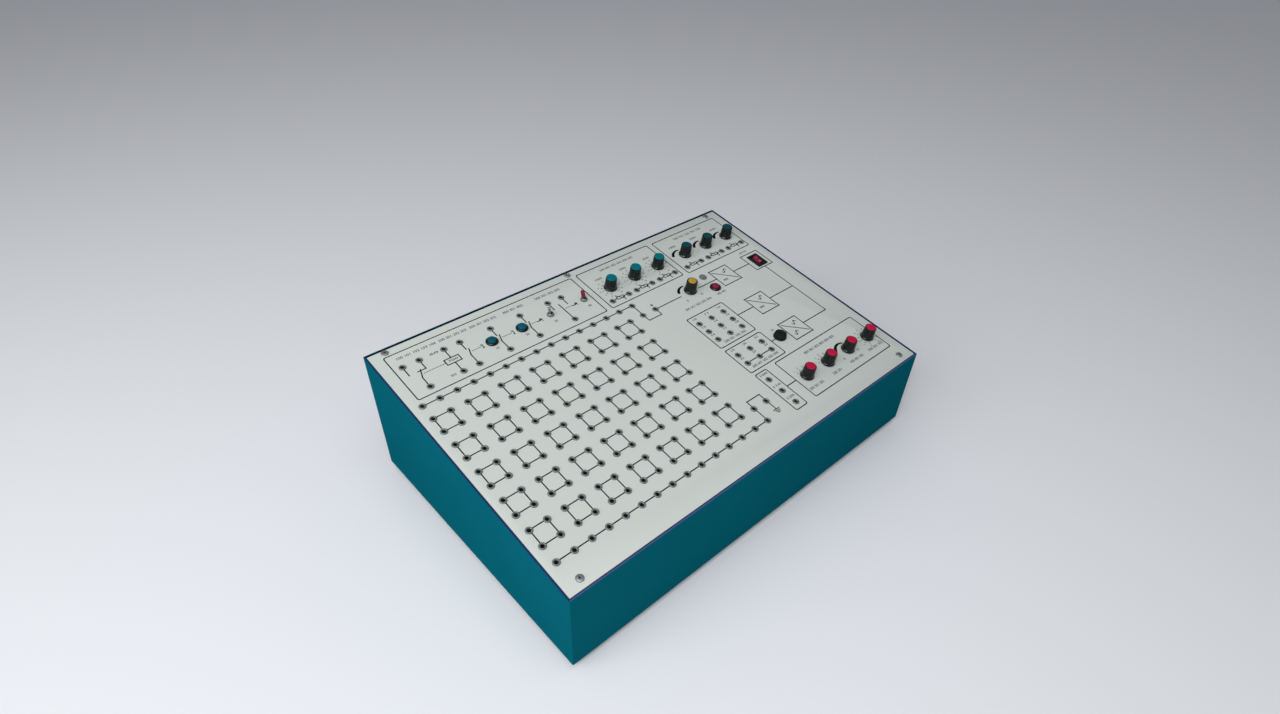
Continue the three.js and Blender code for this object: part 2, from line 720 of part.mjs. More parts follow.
// Lamp in its bright bezel
addOnPanel("panel_lamp", lampShare, turned([
  [0, -lampDepth], [lampSleeveRadius, -lampDepth], [lampSleeveRadius, seat], [lampBezelRadius, seat],
  [lampBezelRadius, lampBezelHeight - lampBezelEdge], [lampBezelRadius - lampBezelEdge, lampBezelHeight],
  [lampRadius, lampBezelHeight], [lampRadius, lampProud - lampDome],
  [lampRadius - lampDome / 2, lampProud - lampDome / 4], [0, lampProud],
], sides.fine), finish(nickel, 0.2, 1));

// Mains inlet, drawn facing +Z and turned to face out of the rear wall
const inletFrame = new THREE.Group();
inletFrame.position.set(inletX, caseDepth, inletHeight);
inletFrame.rotation.set(Math.PI / 2, Math.PI, 0);
caseFrame.add(inletFrame);
const flangeTop = seat + inletFlangeThickness;

function inletBody() {
  const flange = extruded(chamfered(inletFlangeWidth, inletFlangeHeight, inletFlangeCorner,
    inletFlangeCorner), inletFlangeThickness).translate(0, 0, seat);
  const tub = extruded(chamfered(inletBodyWidth, inletBodyHeight, inletCorner, 0),
    inletBodyDepth + flangeTop).translate(0, 0, -inletBodyDepth);
  const cavityBottom = flangeTop - inletCavityDepth;
  const cavity = extruded(chamfered(inletBodyWidth - 2 * inletWall, inletBodyHeight - 2 * inletWall,
    inletCorner - inletWall / 2, 0), inletCavityDepth + overrun).translate(0, 0, cavityBottom);
  const pins = [[-1, -1], [0, 1], [1, -1]].map(([across, up]) => (
    centredBlock(inletPinWidth, inletPinHeight, cavityBottom - letIn, cavityBottom + inletPinLength)
      .translate(across * inletPinSpacing / 2, up * inletPinOffset, 0)));
  const screwHead = prism(inletScrewHeadRadius, flangeTop - letIn, flangeTop + inletScrewHeadHeight,
    sides.hex);
  const screws = spread(screwHead, [[-inletScrewSpacing / 2, 0], [inletScrewSpacing / 2, 0]]);
  return join(cut(join(flange, tub), cavity), ...pins, screws);
}

add(inletFrame, "mains_inlet", inletBody(), finish(black, 0.5, 0));

// Transformer: laminated core, coil round its centre leg, and a strap that holds both down
const transformerFrame = new THREE.Group();
transformerFrame.position.set(sideMargin + transformerColumnShare * pitch,
  transformerDepthShare * caseDepth, sheet + seat);
caseFrame.add(transformerFrame);
const windowHeight = coreHeight - 2 * coreLeg;
const windowWidth = (coreWidth - 4 * coreLeg) / 2;

function transformerCore() {
  const windows = [-1, 1].map((side) => (
    centredBlock(windowWidth, coreDepth + 2 * overrun, coreLeg, coreLeg + windowHeight)
      .translate(side * (coreLeg + windowWidth / 2), 0, 0)));
  return cut(centredBlock(coreWidth, coreDepth, 0, coreHeight), ...windows);
}

function transformerCoil() {
  const width = 2 * (coreLeg + windowWidth - seat);
  const winding = extruded(chamfered(width, coreDepth + 2 * coilBulge, coilCorner, coilCorner),
    windowHeight - 2 * seat).translate(0, 0, coreLeg + seat);
  return cut(winding, centredBlock(2 * (coreLeg + seat), coreDepth + 2 * seat, 0, coreHeight));
}

function transformerStrap() {
  const inner = coreWidth / 2 + seat;
  const outer = inner + strapThickness;
  const ear = outer + strapEar;
  const top = coreHeight + seat;
  const frontView = outline([[-ear, 0], [-inner, 0], [-inner, top], [inner, top], [inner, 0], [ear, 0],
    [ear, strapThickness], [outer, strapThickness], [outer, top + strapThickness],
    [-outer, top + strapThickness], [-outer, strapThickness], [-ear, strapThickness]]);
  return extruded(frontView, strapWidth).translate(0, 0, -strapWidth / 2).rotateX(Math.PI / 2);
}

add(transformerFrame, "transformer_core", transformerCore(), finish(0x55504c, 0.6, 0.6));
add(transformerFrame, "transformer_coil", transformerCoil(), finish(0xc9a24a, 0.6, 0));
add(transformerFrame, "transformer_strap", transformerStrap(), finish(nickel, 0.4, 0.8));

// Supply board on the pillars, with its capacitor, heat sink and relay
const boardFrame = new THREE.Group();
boardFrame.position.set(boardX, boardY, sheet + pillarHeight + seat);
caseFrame.add(boardFrame);
const onBoard = boardThickness + seat;

function addOnBoard(name, [xShare, yShare], geometry, material) {
  add(boardFrame, name, geometry, material)
    .position.set(xShare * supplyBoardWidth, yShare * supplyBoardDepth, onBoard);
}

function heatSink() {
  const depth = (sinkFinCount - 1) * sinkFinStep + sinkFinThickness;
  const points = [[0, 0], [depth, 0]];
  for (let i = sinkFinCount - 1; i >= 0; i--) {
    const [near, far] = [i * sinkFinStep, i * sinkFinStep + sinkFinThickness];
    if (i < sinkFinCount - 1) points.push([far, sinkBase]);
    points.push([far, sinkHeight], [near, sinkHeight]);
    if (i > 0) points.push([near, sinkBase]);
  }
  return acrossX(outline(points), sinkLength);
}

add(boardFrame, "supply_board", block([0, 0, 0], [supplyBoardWidth, supplyBoardDepth, boardThickness]),
  finish(boardGreen, 0.6, 0));
addOnBoard("capacitor", capacitorShares, prism(capacitorRadius, 0, capacitorHeight, sides.fine),
  finish(0x2a3550, 0.4, 0));
addOnBoard("heat_sink", sinkShares, heatSink(), finish(0x303336, 0.5, 0.6));
addOnBoard("relay", relayShares, block([0, 0, 0], [relayWidth, relayDepth, relayHeight]),
  finish(0x3c4a8a, 0.4, 0));

export default kit;
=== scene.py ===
import math

import bpy
from mathutils import Matrix, Vector


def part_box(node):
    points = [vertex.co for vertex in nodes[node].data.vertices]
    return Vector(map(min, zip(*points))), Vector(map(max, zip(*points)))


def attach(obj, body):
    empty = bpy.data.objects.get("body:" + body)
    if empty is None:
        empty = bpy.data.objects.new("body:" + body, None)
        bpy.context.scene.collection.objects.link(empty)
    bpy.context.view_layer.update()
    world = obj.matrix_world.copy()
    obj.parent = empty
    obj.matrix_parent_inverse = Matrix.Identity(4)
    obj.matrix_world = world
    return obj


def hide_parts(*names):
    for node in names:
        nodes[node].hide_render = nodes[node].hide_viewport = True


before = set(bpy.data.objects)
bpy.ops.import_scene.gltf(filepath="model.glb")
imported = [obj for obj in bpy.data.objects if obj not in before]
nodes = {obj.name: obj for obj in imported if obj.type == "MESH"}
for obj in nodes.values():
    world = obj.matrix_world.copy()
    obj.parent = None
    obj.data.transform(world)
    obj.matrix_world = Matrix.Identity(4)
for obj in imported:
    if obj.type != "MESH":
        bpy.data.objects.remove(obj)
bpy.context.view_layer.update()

# Electronics training kit. Lengths are in millimetres, places on the panel are counted
# from the first plug socket: across to the right, and up the slope.
mm = 0.001

# camera at the photograph's viewing angle
cameraFit = {
    "eye": (-0.4464, -0.44552, 0.61294),
    "forward": (0.51617, 0.55473, -0.65257),
    "up": (0.42203, 0.49826, 0.75738),
    "focal": 740.76,  # pixels
    "centre": (634.68, 397.06),  # pixels, where the lens axis meets the picture
    "picture": (1280, 714),
    "sensor": 36,  # millimetres
}


def makeCamera(fit):
    forward = Vector(fit["forward"]).normalized()
    right = forward.cross(Vector(fit["up"])).normalized()
    axes = Matrix((right, right.cross(forward), -forward)).transposed()
    width, height = fit["picture"]
    bpy.ops.object.camera_add()
    camera = bpy.context.object
    camera.name = "photoCamera"
    camera.matrix_world = Matrix.Translation(fit["eye"]) @ axes.to_4x4()
    camera.data.sensor_width = fit["sensor"]
    camera.data.lens = fit["focal"] * fit["sensor"] / width
    camera.data.shift_x = (width / 2 - fit["centre"][0]) / width
    camera.data.shift_y = (fit["centre"][1] - height / 2) / width
    camera.data.clip_start, camera.data.clip_end = 0.01, 50
    bpy.context.scene.camera = camera


makeCamera(cameraFit)
print("camera: placed")


# shader sums
class Wire:
    # what comes out of a node, so that masks and mixes read as plain sums
    def __init__(self, recipe, socket):
        self.recipe, self.socket = recipe, socket

    def maths(self, operation, *values):
        return self.recipe.node("Math", {"operation": operation}, dict(enumerate(values)))

    def __add__(self, other):
        return self.maths("ADD", self, other)

    def __mul__(self, other):
        return self.maths("MULTIPLY", self, other)

    def __rsub__(self, other):
        return self.maths("SUBTRACT", other, self)

    def between(self, low, high):
        # 0 below low, 1 above high, smooth on the way
        settings = {"interpolation_type": "SMOOTHSTEP"}
        return self.recipe.node("MapRange", settings, {"Value": self, "From Min": low, "From Max": high})

    __radd__ = __add__
    __rmul__ = __mul__


class Recipe:
    def __init__(self, name):
        self.material = bpy.data.materials.new(name)
        self.material.use_nodes = True
        self.tree = self.material.node_tree
        self.tree.nodes.clear()

    def node(self, kind, settings=None, sockets=None, output=0):
        made = self.tree.nodes.new("ShaderNode" + kind)
        for key, value in (settings or {}).items():
            setattr(made, key, value)
        for key, value in (sockets or {}).items():
            if isinstance(value, Wire):
                self.tree.links.new(value.socket, made.inputs[key])
            else:
                made.inputs[key].default_value = value
        return Wire(self, made.outputs[output]) if made.outputs else None

    def place(self, scale=(1, 1, 1)):
        # the piece's own coordinates, so that a pattern stays on it when it moves
        return self.node("Mapping", {}, {"Vector": self.node("TexCoord", output=3), "Scale": scale})

    def noise(self, scale, detail=3, where=None):
        sockets = {"Vector": where or self.place(), "Scale": scale, "Detail": detail, "Roughness": 0.55}
        return self.node("TexNoise", {}, sockets)

    def pattern(self, kind, settings, **sockets):
        return self.node(kind, settings, {"Vector": self.place(), **sockets})

    def bump(self, height, strength, distance):
        return self.node("Bump", {}, {"Height": height, "Strength": strength, "Distance": distance})

    def surface(self, color, roughness, masks, sockets):
        # each mask brings a share of another colour, and its own part of the roughness
        for mask, share, other, rough in masks:
            color = self.node("Mix", {"data_type": "RGBA"}, {0: mask * share, 6: color, 7: other}, 2)
            roughness = mask * rough + roughness
        sockets = {"Base Color": color, "Roughness": roughness, **sockets}
        self.node("OutputMaterial", {}, {"Surface": self.node("BsdfPrincipled", {}, sockets)})
        return self.material


def paint(red, green, blue):
    # a colour read off as 0 to 255, as the shader wants it
    def channel(value):
        value /= 255
        return value / 12.92 if value <= 0.04045 else ((value + 0.055) / 1.055) ** 2.4
    return (channel(red), channel(green), channel(blue), 1)


def deeper(color, share):
    return tuple(value * share for value in color[:3]) + (1,)


# finishes
def paintedSheet(name, color, drift=0.3, driftScale=7, grainScale=900, speck=0.12, speckScale=1400,
                 shine=0, peel=0.1):
    # sprayed paint: slow drifts in tone, specks and an orange-peel skin
    recipe, color = Recipe(name), paint(*color)
    grain = recipe.noise(grainScale, 2)
    drifts = recipe.noise(driftScale, 2).between(0.35, 0.65)
    specks = recipe.noise(speckScale, 1).between(0.62, 0.78)
    masks = [(drifts, drift, deeper(color, 0.82), 0.06), (specks, speck, deeper(color, 0.55), 0)]
    return recipe.surface(color, grain * 0.08 + 0.5, masks, {
        "Specular IOR Level": shine, "Normal": recipe.bump(grain, peel, 0.0002)})


def mouldedPlastic(name, color, roughness, shine=0.35, coat=0, coatRoughness=0.1, scuff=0.1, grain=0.08):
    recipe, color = Recipe(name), paint(*color)
    skin = recipe.noise(1500, 2)
    drifts = recipe.noise(90, 2).between(0.3, 0.7)
    scuffs = recipe.noise(420, 4).between(0.66, 0.8)
    masks = [(drifts, 0.5, deeper(color, 0.8), 0), (scuffs, scuff, (0.35, 0.35, 0.35, 1), 0.12)]
    return recipe.surface(color, skin * 0.07 + roughness, masks, {
        "Specular IOR Level": shine, "Coat Weight": coat, "Coat Roughness": coatRoughness,
        "Normal": recipe.bump(skin, grain, 0.0001)})


def capPlastic(name, color, coat=0):
    return mouldedPlastic(name, color, 0.4, 0.06, coat, scuff=0.03)


def platedMetal(name, color, roughness, metallic=1, tarnish=0.35, brush=0.06, stretch=(1, 1, 1)):
    recipe, color = Recipe(name), paint(*color)
    brushed = recipe.noise(700, 3, recipe.place(stretch))
    tarnished = recipe.noise(60, 3).between(0.45, 0.75)
    masks = [(tarnished, tarnish, deeper(color, 0.62), 0.08)]
    return recipe.surface(color, brushed * 0.12 + roughness, masks, {
        "Metallic": metallic, "Normal": recipe.bump(brushed, brush, 0.0001)})


def printedInk(name, color):
    recipe = Recipe(name)
    wear = recipe.noise(260, 4).between(0.5, 0.85)
    masks = [(wear, 0.15, (0.12, 0.125, 0.125, 1), 0.1)]
    return recipe.surface(paint(*color), 0.45, masks, {"Specular IOR Level": 0.1})


def rubberSkin(name, color):
    recipe = Recipe(name)
    dust = recipe.noise(70, 3).between(0.5, 0.8)
    masks = [(dust, 0.35, (0.09, 0.088, 0.084, 1), 0.1)]
    return recipe.surface(paint(*color), 0.8, masks, {
        "Normal": recipe.bump(recipe.noise(900, 4), 0.25, 0.0002)})


def circuitBoard(name, color, track):
    # solder resist over tracks that show as a slightly lighter, raised net
    recipe = Recipe(name)
    tracks = 1 - recipe.pattern("TexVoronoi", {"distance": "MANHATTAN"}, Scale=130).between(0.25, 0.4)
    return recipe.surface(paint(*color), 0.35, [(tracks, 0.6, paint(*track), 0.1)], {
        "Coat Weight": 0.3, "Normal": recipe.bump(tracks, 0.3, 0.0001)})


def woundTape(name, color):
    recipe, color = Recipe(name), paint(*color)
    turns = recipe.pattern("TexWave", {"bands_direction": "Z"}, Scale=210, Distortion=0.6, Detail=1)
    return recipe.surface(color, 0.4, [(turns, 0.5, deeper(color, 0.5), 0.15)], {
        "Normal": recipe.bump(turns, 0.4, 0.0002)})


def stackedSheets(name, color, rust):
    recipe = Recipe(name)
    sheets = recipe.pattern("TexWave", {"bands_direction": "Y"}, Scale=320, Distortion=0.2)
    rusty = recipe.noise(55, 5).between(0.55, 0.75)
    return recipe.surface(paint(*color), sheets * 0.15 + 0.45, [(rusty, 0.4, paint(*rust), 0)], {
        "Metallic": 0.6, "Normal": recipe.bump(sheets, 0.5, 0.0002)})


def clearLens(name, color):
    recipe, color = Recipe(name), paint(*color)
    return recipe.surface(color, 0.06, [(recipe.noise(600, 2), 0.3, deeper(color, 0.7), 0.08)], {
        "Transmission Weight": 0.7, "IOR": 1.49, "Coat Weight": 0.5})


tealPaint = paintedSheet("tealPaint", (8, 96, 111))
# dark coat for the inside of the tray and the pieces in it: painted shade, so the seam round the panel
# reads dark
paintedInnerShade = paintedSheet("paintedInnerShade", (8, 26, 32))
# the rim's top edge in three copies of one paint: a painted highlight for the front, painted shade for the
# sides, darker painted shade for the rear
paintedRimHighlight = paintedSheet("paintedRimHighlight", (72, 86, 140))
paintedRimSideShade = paintedSheet("paintedRimSideShade", (32, 58, 108))
paintedRimRearShade = paintedSheet("paintedRimRearShade", (0, 70, 86))
palePaint = paintedSheet("palePaint", (203, 210, 205), 0.15, 5, 1400, 0.04, 1900, shine=0.1, peel=0.05)
ink = printedInk("ink", (16, 19, 22))
greyInk = printedInk("greyInk", (92, 98, 99))
paleInk = printedInk("paleInk", (150, 156, 154))
glossBlack = mouldedPlastic("glossBlack", (12, 17, 18), 0.2, 0.12, coat=0.65, coatRoughness=0.13)
satinBlack = mouldedPlastic("satinBlack", (25, 31, 31), 0.34, 0.12)
dullBlack = mouldedPlastic("dullBlack", (9, 9, 10), 0.6, scuff=0)
greyPlastic = mouldedPlastic("greyPlastic", (58, 63, 68), 0.5, grain=0.2)
bluePlastic = mouldedPlastic("bluePlastic", (60, 74, 138), 0.3)
canSleeve = mouldedPlastic("canSleeve", (38, 52, 84), 0.22, coat=0.2)
tealCap = capPlastic("tealCap", (0, 114, 126))
darkTealCap = capPlastic("darkTealCap", (14, 70, 80))
yellowCap = capPlastic("yellowCap", (188, 152, 62))
redCap = capPlastic("redCap", (190, 30, 68))
maroon = capPlastic("maroon", (134, 38, 64), coat=0.08)
tealGloss = capPlastic("tealGloss", (6, 86, 104), coat=0.15)
socketMetal = platedMetal("socketMetal", (126, 133, 133), 0.45, metallic=0.5)
# darker metal for the inside of the plug sockets: painted shade in the bore
paintedThroatShade = platedMetal("paintedThroatShade", (62, 66, 67), 0.5, metallic=0.3)
brightMetal = platedMetal("brightMetal", (205, 206, 208), 0.1, tarnish=0.15)
greyMetal = platedMetal("greyMetal", (138, 144, 144), 0.22, metallic=0.55, tarnish=0.3)
screwMetal = platedMetal("screwMetal", (158, 164, 164), 0.34, metallic=0.8)
plainSteel = platedMetal("plainSteel", (176, 178, 180), 0.3, brush=0.15, stretch=(1, 1, 0.1))
blackMetal = platedMetal("blackMetal", (44, 47, 50), 0.4, metallic=0.7)
footRubber = rubberSkin("footRubber", (26, 26, 26))
boardGreen = circuitBoard("boardGreen", (20, 78, 46), (46, 116, 70))
coilTape = woundTape("coilTape", (204, 166, 84))
coreSheets = stackedSheets("coreSheets", (78, 72, 68), (96, 66, 48))
lens = clearLens("lens", (168, 174, 176))
print("finishes: made")


# modelling helpers
def shift(x, y, z=0):
    return Matrix.Translation(Vector((x, y, z)) * mm)


def spin(degrees, axis="Z"):
    return Matrix.Rotation(math.radians(degrees), 4, axis)


def unselect():
    if bpy.context.object and bpy.context.object.mode != "OBJECT":
        bpy.ops.object.mode_set(mode="OBJECT")
    bpy.ops.object.select_all(action="DESELECT")


def choose(obj):
    unselect()
    obj.select_set(True)
    bpy.context.view_layer.objects.active = obj


def chooseAll(obj):
    # leaves obj in edit mode with everything on it chosen
    choose(obj)
    bpy.ops.object.mode_set(mode="EDIT")
    bpy.ops.mesh.select_all(action="SELECT")


def pick(obj, kind, test):
    # leaves obj in edit mode with the faces, edges or points chosen that the test likes
    choose(obj)
    bpy.ops.object.mode_set(mode="EDIT")
    bpy.ops.mesh.select_mode(type=kind)
    bpy.ops.mesh.select_all(action="DESELECT")
    bpy.ops.object.mode_set(mode="OBJECT")
    mesh = obj.data
    if kind == "FACE":
        for face in mesh.polygons:
            face.select = test(face.center / mm, face.normal)
    elif kind == "EDGE":
        for edge in mesh.edges:
            a, b = (mesh.vertices[i].co / mm for i in edge.vertices)
            edge.select = test((a + b) / 2, b - a)
    else:
        for point in mesh.vertices:
            point.select = test(point.co / mm)
    bpy.ops.object.mode_set(mode="EDIT")


def isTop(middle, normal):
    return normal.z > 0.9


def smooth(obj, angle=35):
    choose(obj)
    bpy.ops.object.shade_smooth_by_angle(angle=math.radians(angle))


def modify(obj, kind, **settings):
    choose(obj)
    modifier = obj.modifiers.new(kind.lower(), kind)
    for key, value in settings.items():
        setattr(modifier, key, value)
    bpy.ops.object.modifier_apply(modifier=modifier.name)


def soften(obj, width, segments=2, angle=30):
    modify(obj, "BEVEL", width=width * mm, segments=segments, limit_method="ANGLE",
           angle_limit=math.radians(angle))


def bevel(width, segments):
    bpy.ops.mesh.bevel(offset=width * mm, segments=segments, affect="EDGES")


def carve(obj, cutter):
    modify(obj, "BOOLEAN", object=cutter, operation="DIFFERENCE", solver="EXACT")
    bpy.data.objects.remove(cutter)


def extend(rise, across, along):
    # extrudes what is chosen and scales it about the piece's own axis
    bpy.ops.mesh.extrude_region_move(TRANSFORM_OT_translate={"value": (0, 0, rise * mm)})
    bpy.ops.transform.resize(value=(across, along, 1), center_override=(0, 0, 0))


def turned(name, profile, sides=40):
    # a disc that is extruded and scaled from one [radius, height] to the next; further pairs
    # in an entry stand for the points that lie that far from it
    points = []
    for radius, height, *offsets in profile:
        points += [(radius + out, height + up) for out, up in offsets or [(0, 0)]]
    radius, height = points[0]
    unselect()
    bpy.ops.mesh.primitive_circle_add(
        vertices=sides, radius=radius * mm, fill_type="NGON", location=(0, 0, height * mm))
    obj = bpy.context.object
    obj.name = name
    bpy.ops.object.transform_apply(location=True)
    chooseAll(obj)
    for nextRadius, nextHeight in points[1:]:
        grow = nextRadius / radius
        extend(nextHeight - height, grow, grow)
        radius, height = nextRadius, nextHeight
    chooseAll(obj)
    bpy.ops.mesh.normals_make_consistent(inside=False)
    smooth(obj)
    return obj


def fluted(obj, sides, low, high, inner, flute):
    # sinks every other face of the wall that lies between two heights
    def isFlute(middle, normal):
        turn = math.degrees(math.atan2(middle.y, middle.x)) % 360
        onWall = low < middle.z < high and middle.xy.length > inner
        return onWall and int(turn * sides / 360) % 2 == 0

    edge, depth = flute
    pick(obj, "FACE", isFlute)
    bpy.ops.mesh.inset(thickness=edge * mm, depth=-depth * mm, use_individual=True)


def boxPiece(name, low, high):
    unselect()
    size = [b - a for a, b in zip(low, high)]
    middle = [(a + b) / 2 for a, b in zip(low, high)]
    bpy.ops.mesh.primitive_cube_add(size=1)
    obj = bpy.context.object
    obj.name = name
    obj.data.transform(shift(*middle) @ Matrix.Diagonal(Vector(size) * mm).to_4x4())
    return obj


def block(name, size, low, high, x=0, y=0):
    # a box of this width and length about a spot
    width, length = size
    return boxPiece(name, (x - width / 2, y - length / 2, low), (x + width / 2, y + length / 2, high))


def stepped(name, size, low, high, steps):
    # a block whose top goes on to each [rise, (width, length)] in turn
    obj = block(name, size, low, high)
    pick(obj, "FACE", isTop)
    for rise, nextSize in steps:
        extend(rise, nextSize[0] / size[0], nextSize[1] / size[1])
        size = nextSize
    return obj


def joined(name, parts):
    unselect()
    for part in parts:
        part.select_set(True)
    bpy.context.view_layer.objects.active = parts[0]
    bpy.ops.object.join()
    parts[0].name = name
    return parts[0]


def copied(obj, name, where):
    twin = obj.copy()
    twin.data = obj.data.copy()
    twin.name = name
    bpy.context.collection.objects.link(twin)
    twin.data.transform(where)
    return twin


def removeAll(*objects):
    for obj in objects:
        bpy.data.objects.remove(obj)


def coat(obj, material, test=None):
    # the whole piece, or the faces that the test likes
    if test is None:
        obj.data.materials.clear()
    obj.data.materials.append(material)
    for face in obj.data.polygons:
        if test is None or test(face.center / mm, face.normal):
            face.material_index = len(obj.data.materials) - 1


def seat(obj, body, slotName, *replaced):
    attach(obj, body)
    if replaced:
        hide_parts(*replaced)


def install(obj, material, where, *seating):
    coat(obj, material)
    obj.data.transform(where)
    seat(obj, *seating)


# the sloping panel's own frame
firstSocket = (13.5, 34.6)
panelCorner = (-251, -166.753, 105.802)
panelPlace = shift(*panelCorner) @ spin(8.7, "X")
upwards = panelPlace.to_3x3() @ Vector((0, 0, 1))
underside = -2.3  # where fittings under the panel may start
standOff = 0.03  # how far those on it stay above its face


def onPlate(x, y):
    # from the plate's own corner
    return shift(x + firstSocket[0], y + firstSocket[1])


def onPanel(x, y, turn=0):
    return panelPlace @ onPlate(x, y) @ spin(turn)


# places on the panel, measured in the photograph
pitch = 19
decadeKnobs = [(265.62, 247), (303.05, 247), (340.48, 247)]
decadePairs = {"columns": (265.05, 301.72, 338.77), "row": 227.24, "half": 12.293}
resistorKnobs = [(386.08, 246.05), (422.75, 246.05), (459.23, 246.05)]
resistorPairs = {"columns": (383.61, 420.28, 456.57), "row": 226.29, "half": 12.103}
sourceKnob = (342.19, 191.33)
generatorKnobs = [(350.74, 17.67), (387.41, 17.67), (424.08, 17.67), (460.56, 17.67)]
toggles = [(179.93, 247.38), (226.86, 247.38)]
buttons = [(103.74, 247), (141.74, 247), (373.16, 179.55)]
lampSpot, fuseSpot, rockerSpot = (373.54, 201.4), (373.35, 76.57), (458.09, 188.1)
switchSockets = [
    (10.45, 264.48), (28.88, 264.48), (19.57, 227.24), (57, 264.48), (57, 227.24), (75.62, 264.48),
    (75.62, 227.24), (113.24, 264.48), (113.24, 227.24), (151.05, 264.48), (151.05, 227.24),
    (188.67, 264.48), (207.29, 264.48), (198.36, 227.24)]
directColumns, directRows = (310.27, 329.84, 349.6), (143.26, 128.25, 113.43)
alternatingRows = (83.03, 68.21)
generatorSockets = [(311.03, 38), (311.03, 19), (311.03, 0)]


def socketSpots():
    spots = [(column * pitch, row * pitch) for column in range(14) for row in range(1, 11)]
    for rail, beside in ((0, 1), (11, 10)):
        spots += [(column * pitch, rail * pitch) for column in range(15)]
        spots += [(14 * pitch, beside * pitch), (15 * pitch, beside * pitch)]
    for pairs in (decadePairs, resistorPairs):
        for x in pairs["columns"]:
            spots += [(x + side * pairs["half"], pairs["row"]) for side in (-1, 1)]
    spots += [(x, y) for x in directColumns for y in directRows + alternatingRows]
    return spots + switchSockets + generatorSockets


# case: a folded tray
caseValues = {
    "front": 99, "sheet": 1.5, "bend": 4, "corner": 0.9, "edge": 0.3, "cut": 10,
    "rim": -0.6, "sideRim": 249, "rearRim": 150, "centre": (0, 0, 60),
    "vents": 8, "vent": (3, 36), "ventCorner": 1.4, "ventStart": (215, 30), "ventStep": 9,
    "inlet": (28.6, 21.1), "inletCentre": (442.9, 44), "lug": (22, 2), "lugReach": ((-11, 10), (-10, 5.3)),
    "pillar": (3.2, 8), "pillars": ((125, 145.3), (261, 145.3), (125, 231.3), (261, 231.3)),
}
panelScrewSpots = [(6.3, -23), (468.7, -23), (6.3, 291.8), (237.5, 291.8), (468.7, 291.8)]


def makeCase(front, sheet, bend, corner, edge, cut, rim, sideRim, rearRim, centre, vents, vent, ventCorner,
             ventStart, ventStep, inlet, inletCentre, lug, lugReach, pillar, pillars):
    low, high = (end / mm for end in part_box("case_shell"))
    case = boxPiece("caseBody", low, high)
    chooseAll(case)
    opening = Vector((0, low.y, low.z + front)) * mm
    bpy.ops.mesh.bisect(plane_co=opening, plane_no=upwards, clear_outer=True)
    pick(case, "EDGE", lambda middle, along: abs(middle.z - low.z) < 0.01)
    bevel(bend, 6)
    bpy.ops.mesh.select_all(action="DESELECT")
    bpy.ops.mesh.edges_select_sharp(sharpness=math.radians(50))
    bevel(corner, 3)
    chooseAll(case)
    bpy.ops.mesh.remove_doubles(threshold=0.02 * mm)
    bpy.ops.mesh.normals_make_consistent(inside=False)
    modify(case, "SOLIDIFY", thickness=sheet * mm, offset=-1, use_even_offset=True)

    x, z = inletCentre[0] + low.x, inletCentre[1] + low.z
    cutters = [block("inletHole", (inlet[0], cut), z - inlet[1] / 2, z + inlet[1] / 2, x, high.y)]
    bottom = ventStart[1] + low.z
    slot = block("slot", (vent[0], cut), bottom, bottom + vent[1], vent[0] / 2, high.y)
    pick(slot, "EDGE", lambda middle, along: abs(along.y) > 1)
    bevel(ventCorner, 4)
    unselect()
    for i in range(vents):
        cutters.append(copied(slot, "vent", shift(ventStart[0] + i * ventStep + low.x, 0)))
    removeAll(slot)
    carve(case, joined("openings", cutters))
    soften(case, edge, angle=55)

    extras = []
    for x, y in panelScrewSpots:
        start, end = lugReach[y > 0]
        tab = boxPiece("lug", (-lug[0] / 2, start, underside - lug[1]), (lug[0] / 2, end, underside))
        soften(tab, edge)
        tab.data.transform(onPanel(x, y))
        extras.append(tab)
    radius, height = pillar
    for x, y in pillars:
        post = turned("pillar", [(radius, 1.2), (radius, height, (0, 1.3), (-0.2, 1.5))], 24)
        post.data.transform(shift(x + low.x, y + low.y, low.z))
        extras.append(post)
    # the lugs and pillars get the dark inside coat: painted shade
    for extra in extras:
        coat(extra, paintedInnerShade)

    def onRim(middle, normal=None):
        return (middle - Vector(panelCorner)).dot(upwards) > rim

    def isInside(middle, normal):
        return (middle - Vector(centre)).dot(normal) < 0 and not onRim(middle)

    coat(case, tealPaint)
    # the inside faces get the dark coat: painted shade, seen through the seam round the panel and through
    # the vents
    coat(case, paintedInnerShade, isInside)
    # rim top: painted highlight along the front, painted shade along the sides and darker painted shade
    # along the rear
    coat(case, paintedRimHighlight, onRim)
    coat(case, paintedRimSideShade, lambda middle, normal: onRim(middle) and abs(middle.x) > sideRim)
    coat(case, paintedRimRearShade, lambda middle, normal: onRim(middle) and middle.y > rearRim)
    case = joined("caseBody", [case] + extras)
    smooth(case, 30)
    seat(case, "case", "case_paint", "case_shell")


makeCase(**caseValues)
print("case: folded, vented and lugged")


# panel plate with every hole it needs
plateValues = {
    "low": (2.5, 2.53, -2), "high": (499.5, 330.33, 0), "edge": 0.25, "drill": (-4, 3),
    "holes": ((3.72, 12), (4.7, 24), (3.2, 24), (6.15, 32), (3.75, 24), (6.35, 32)),
    "window": (13.4, 18.9),
}


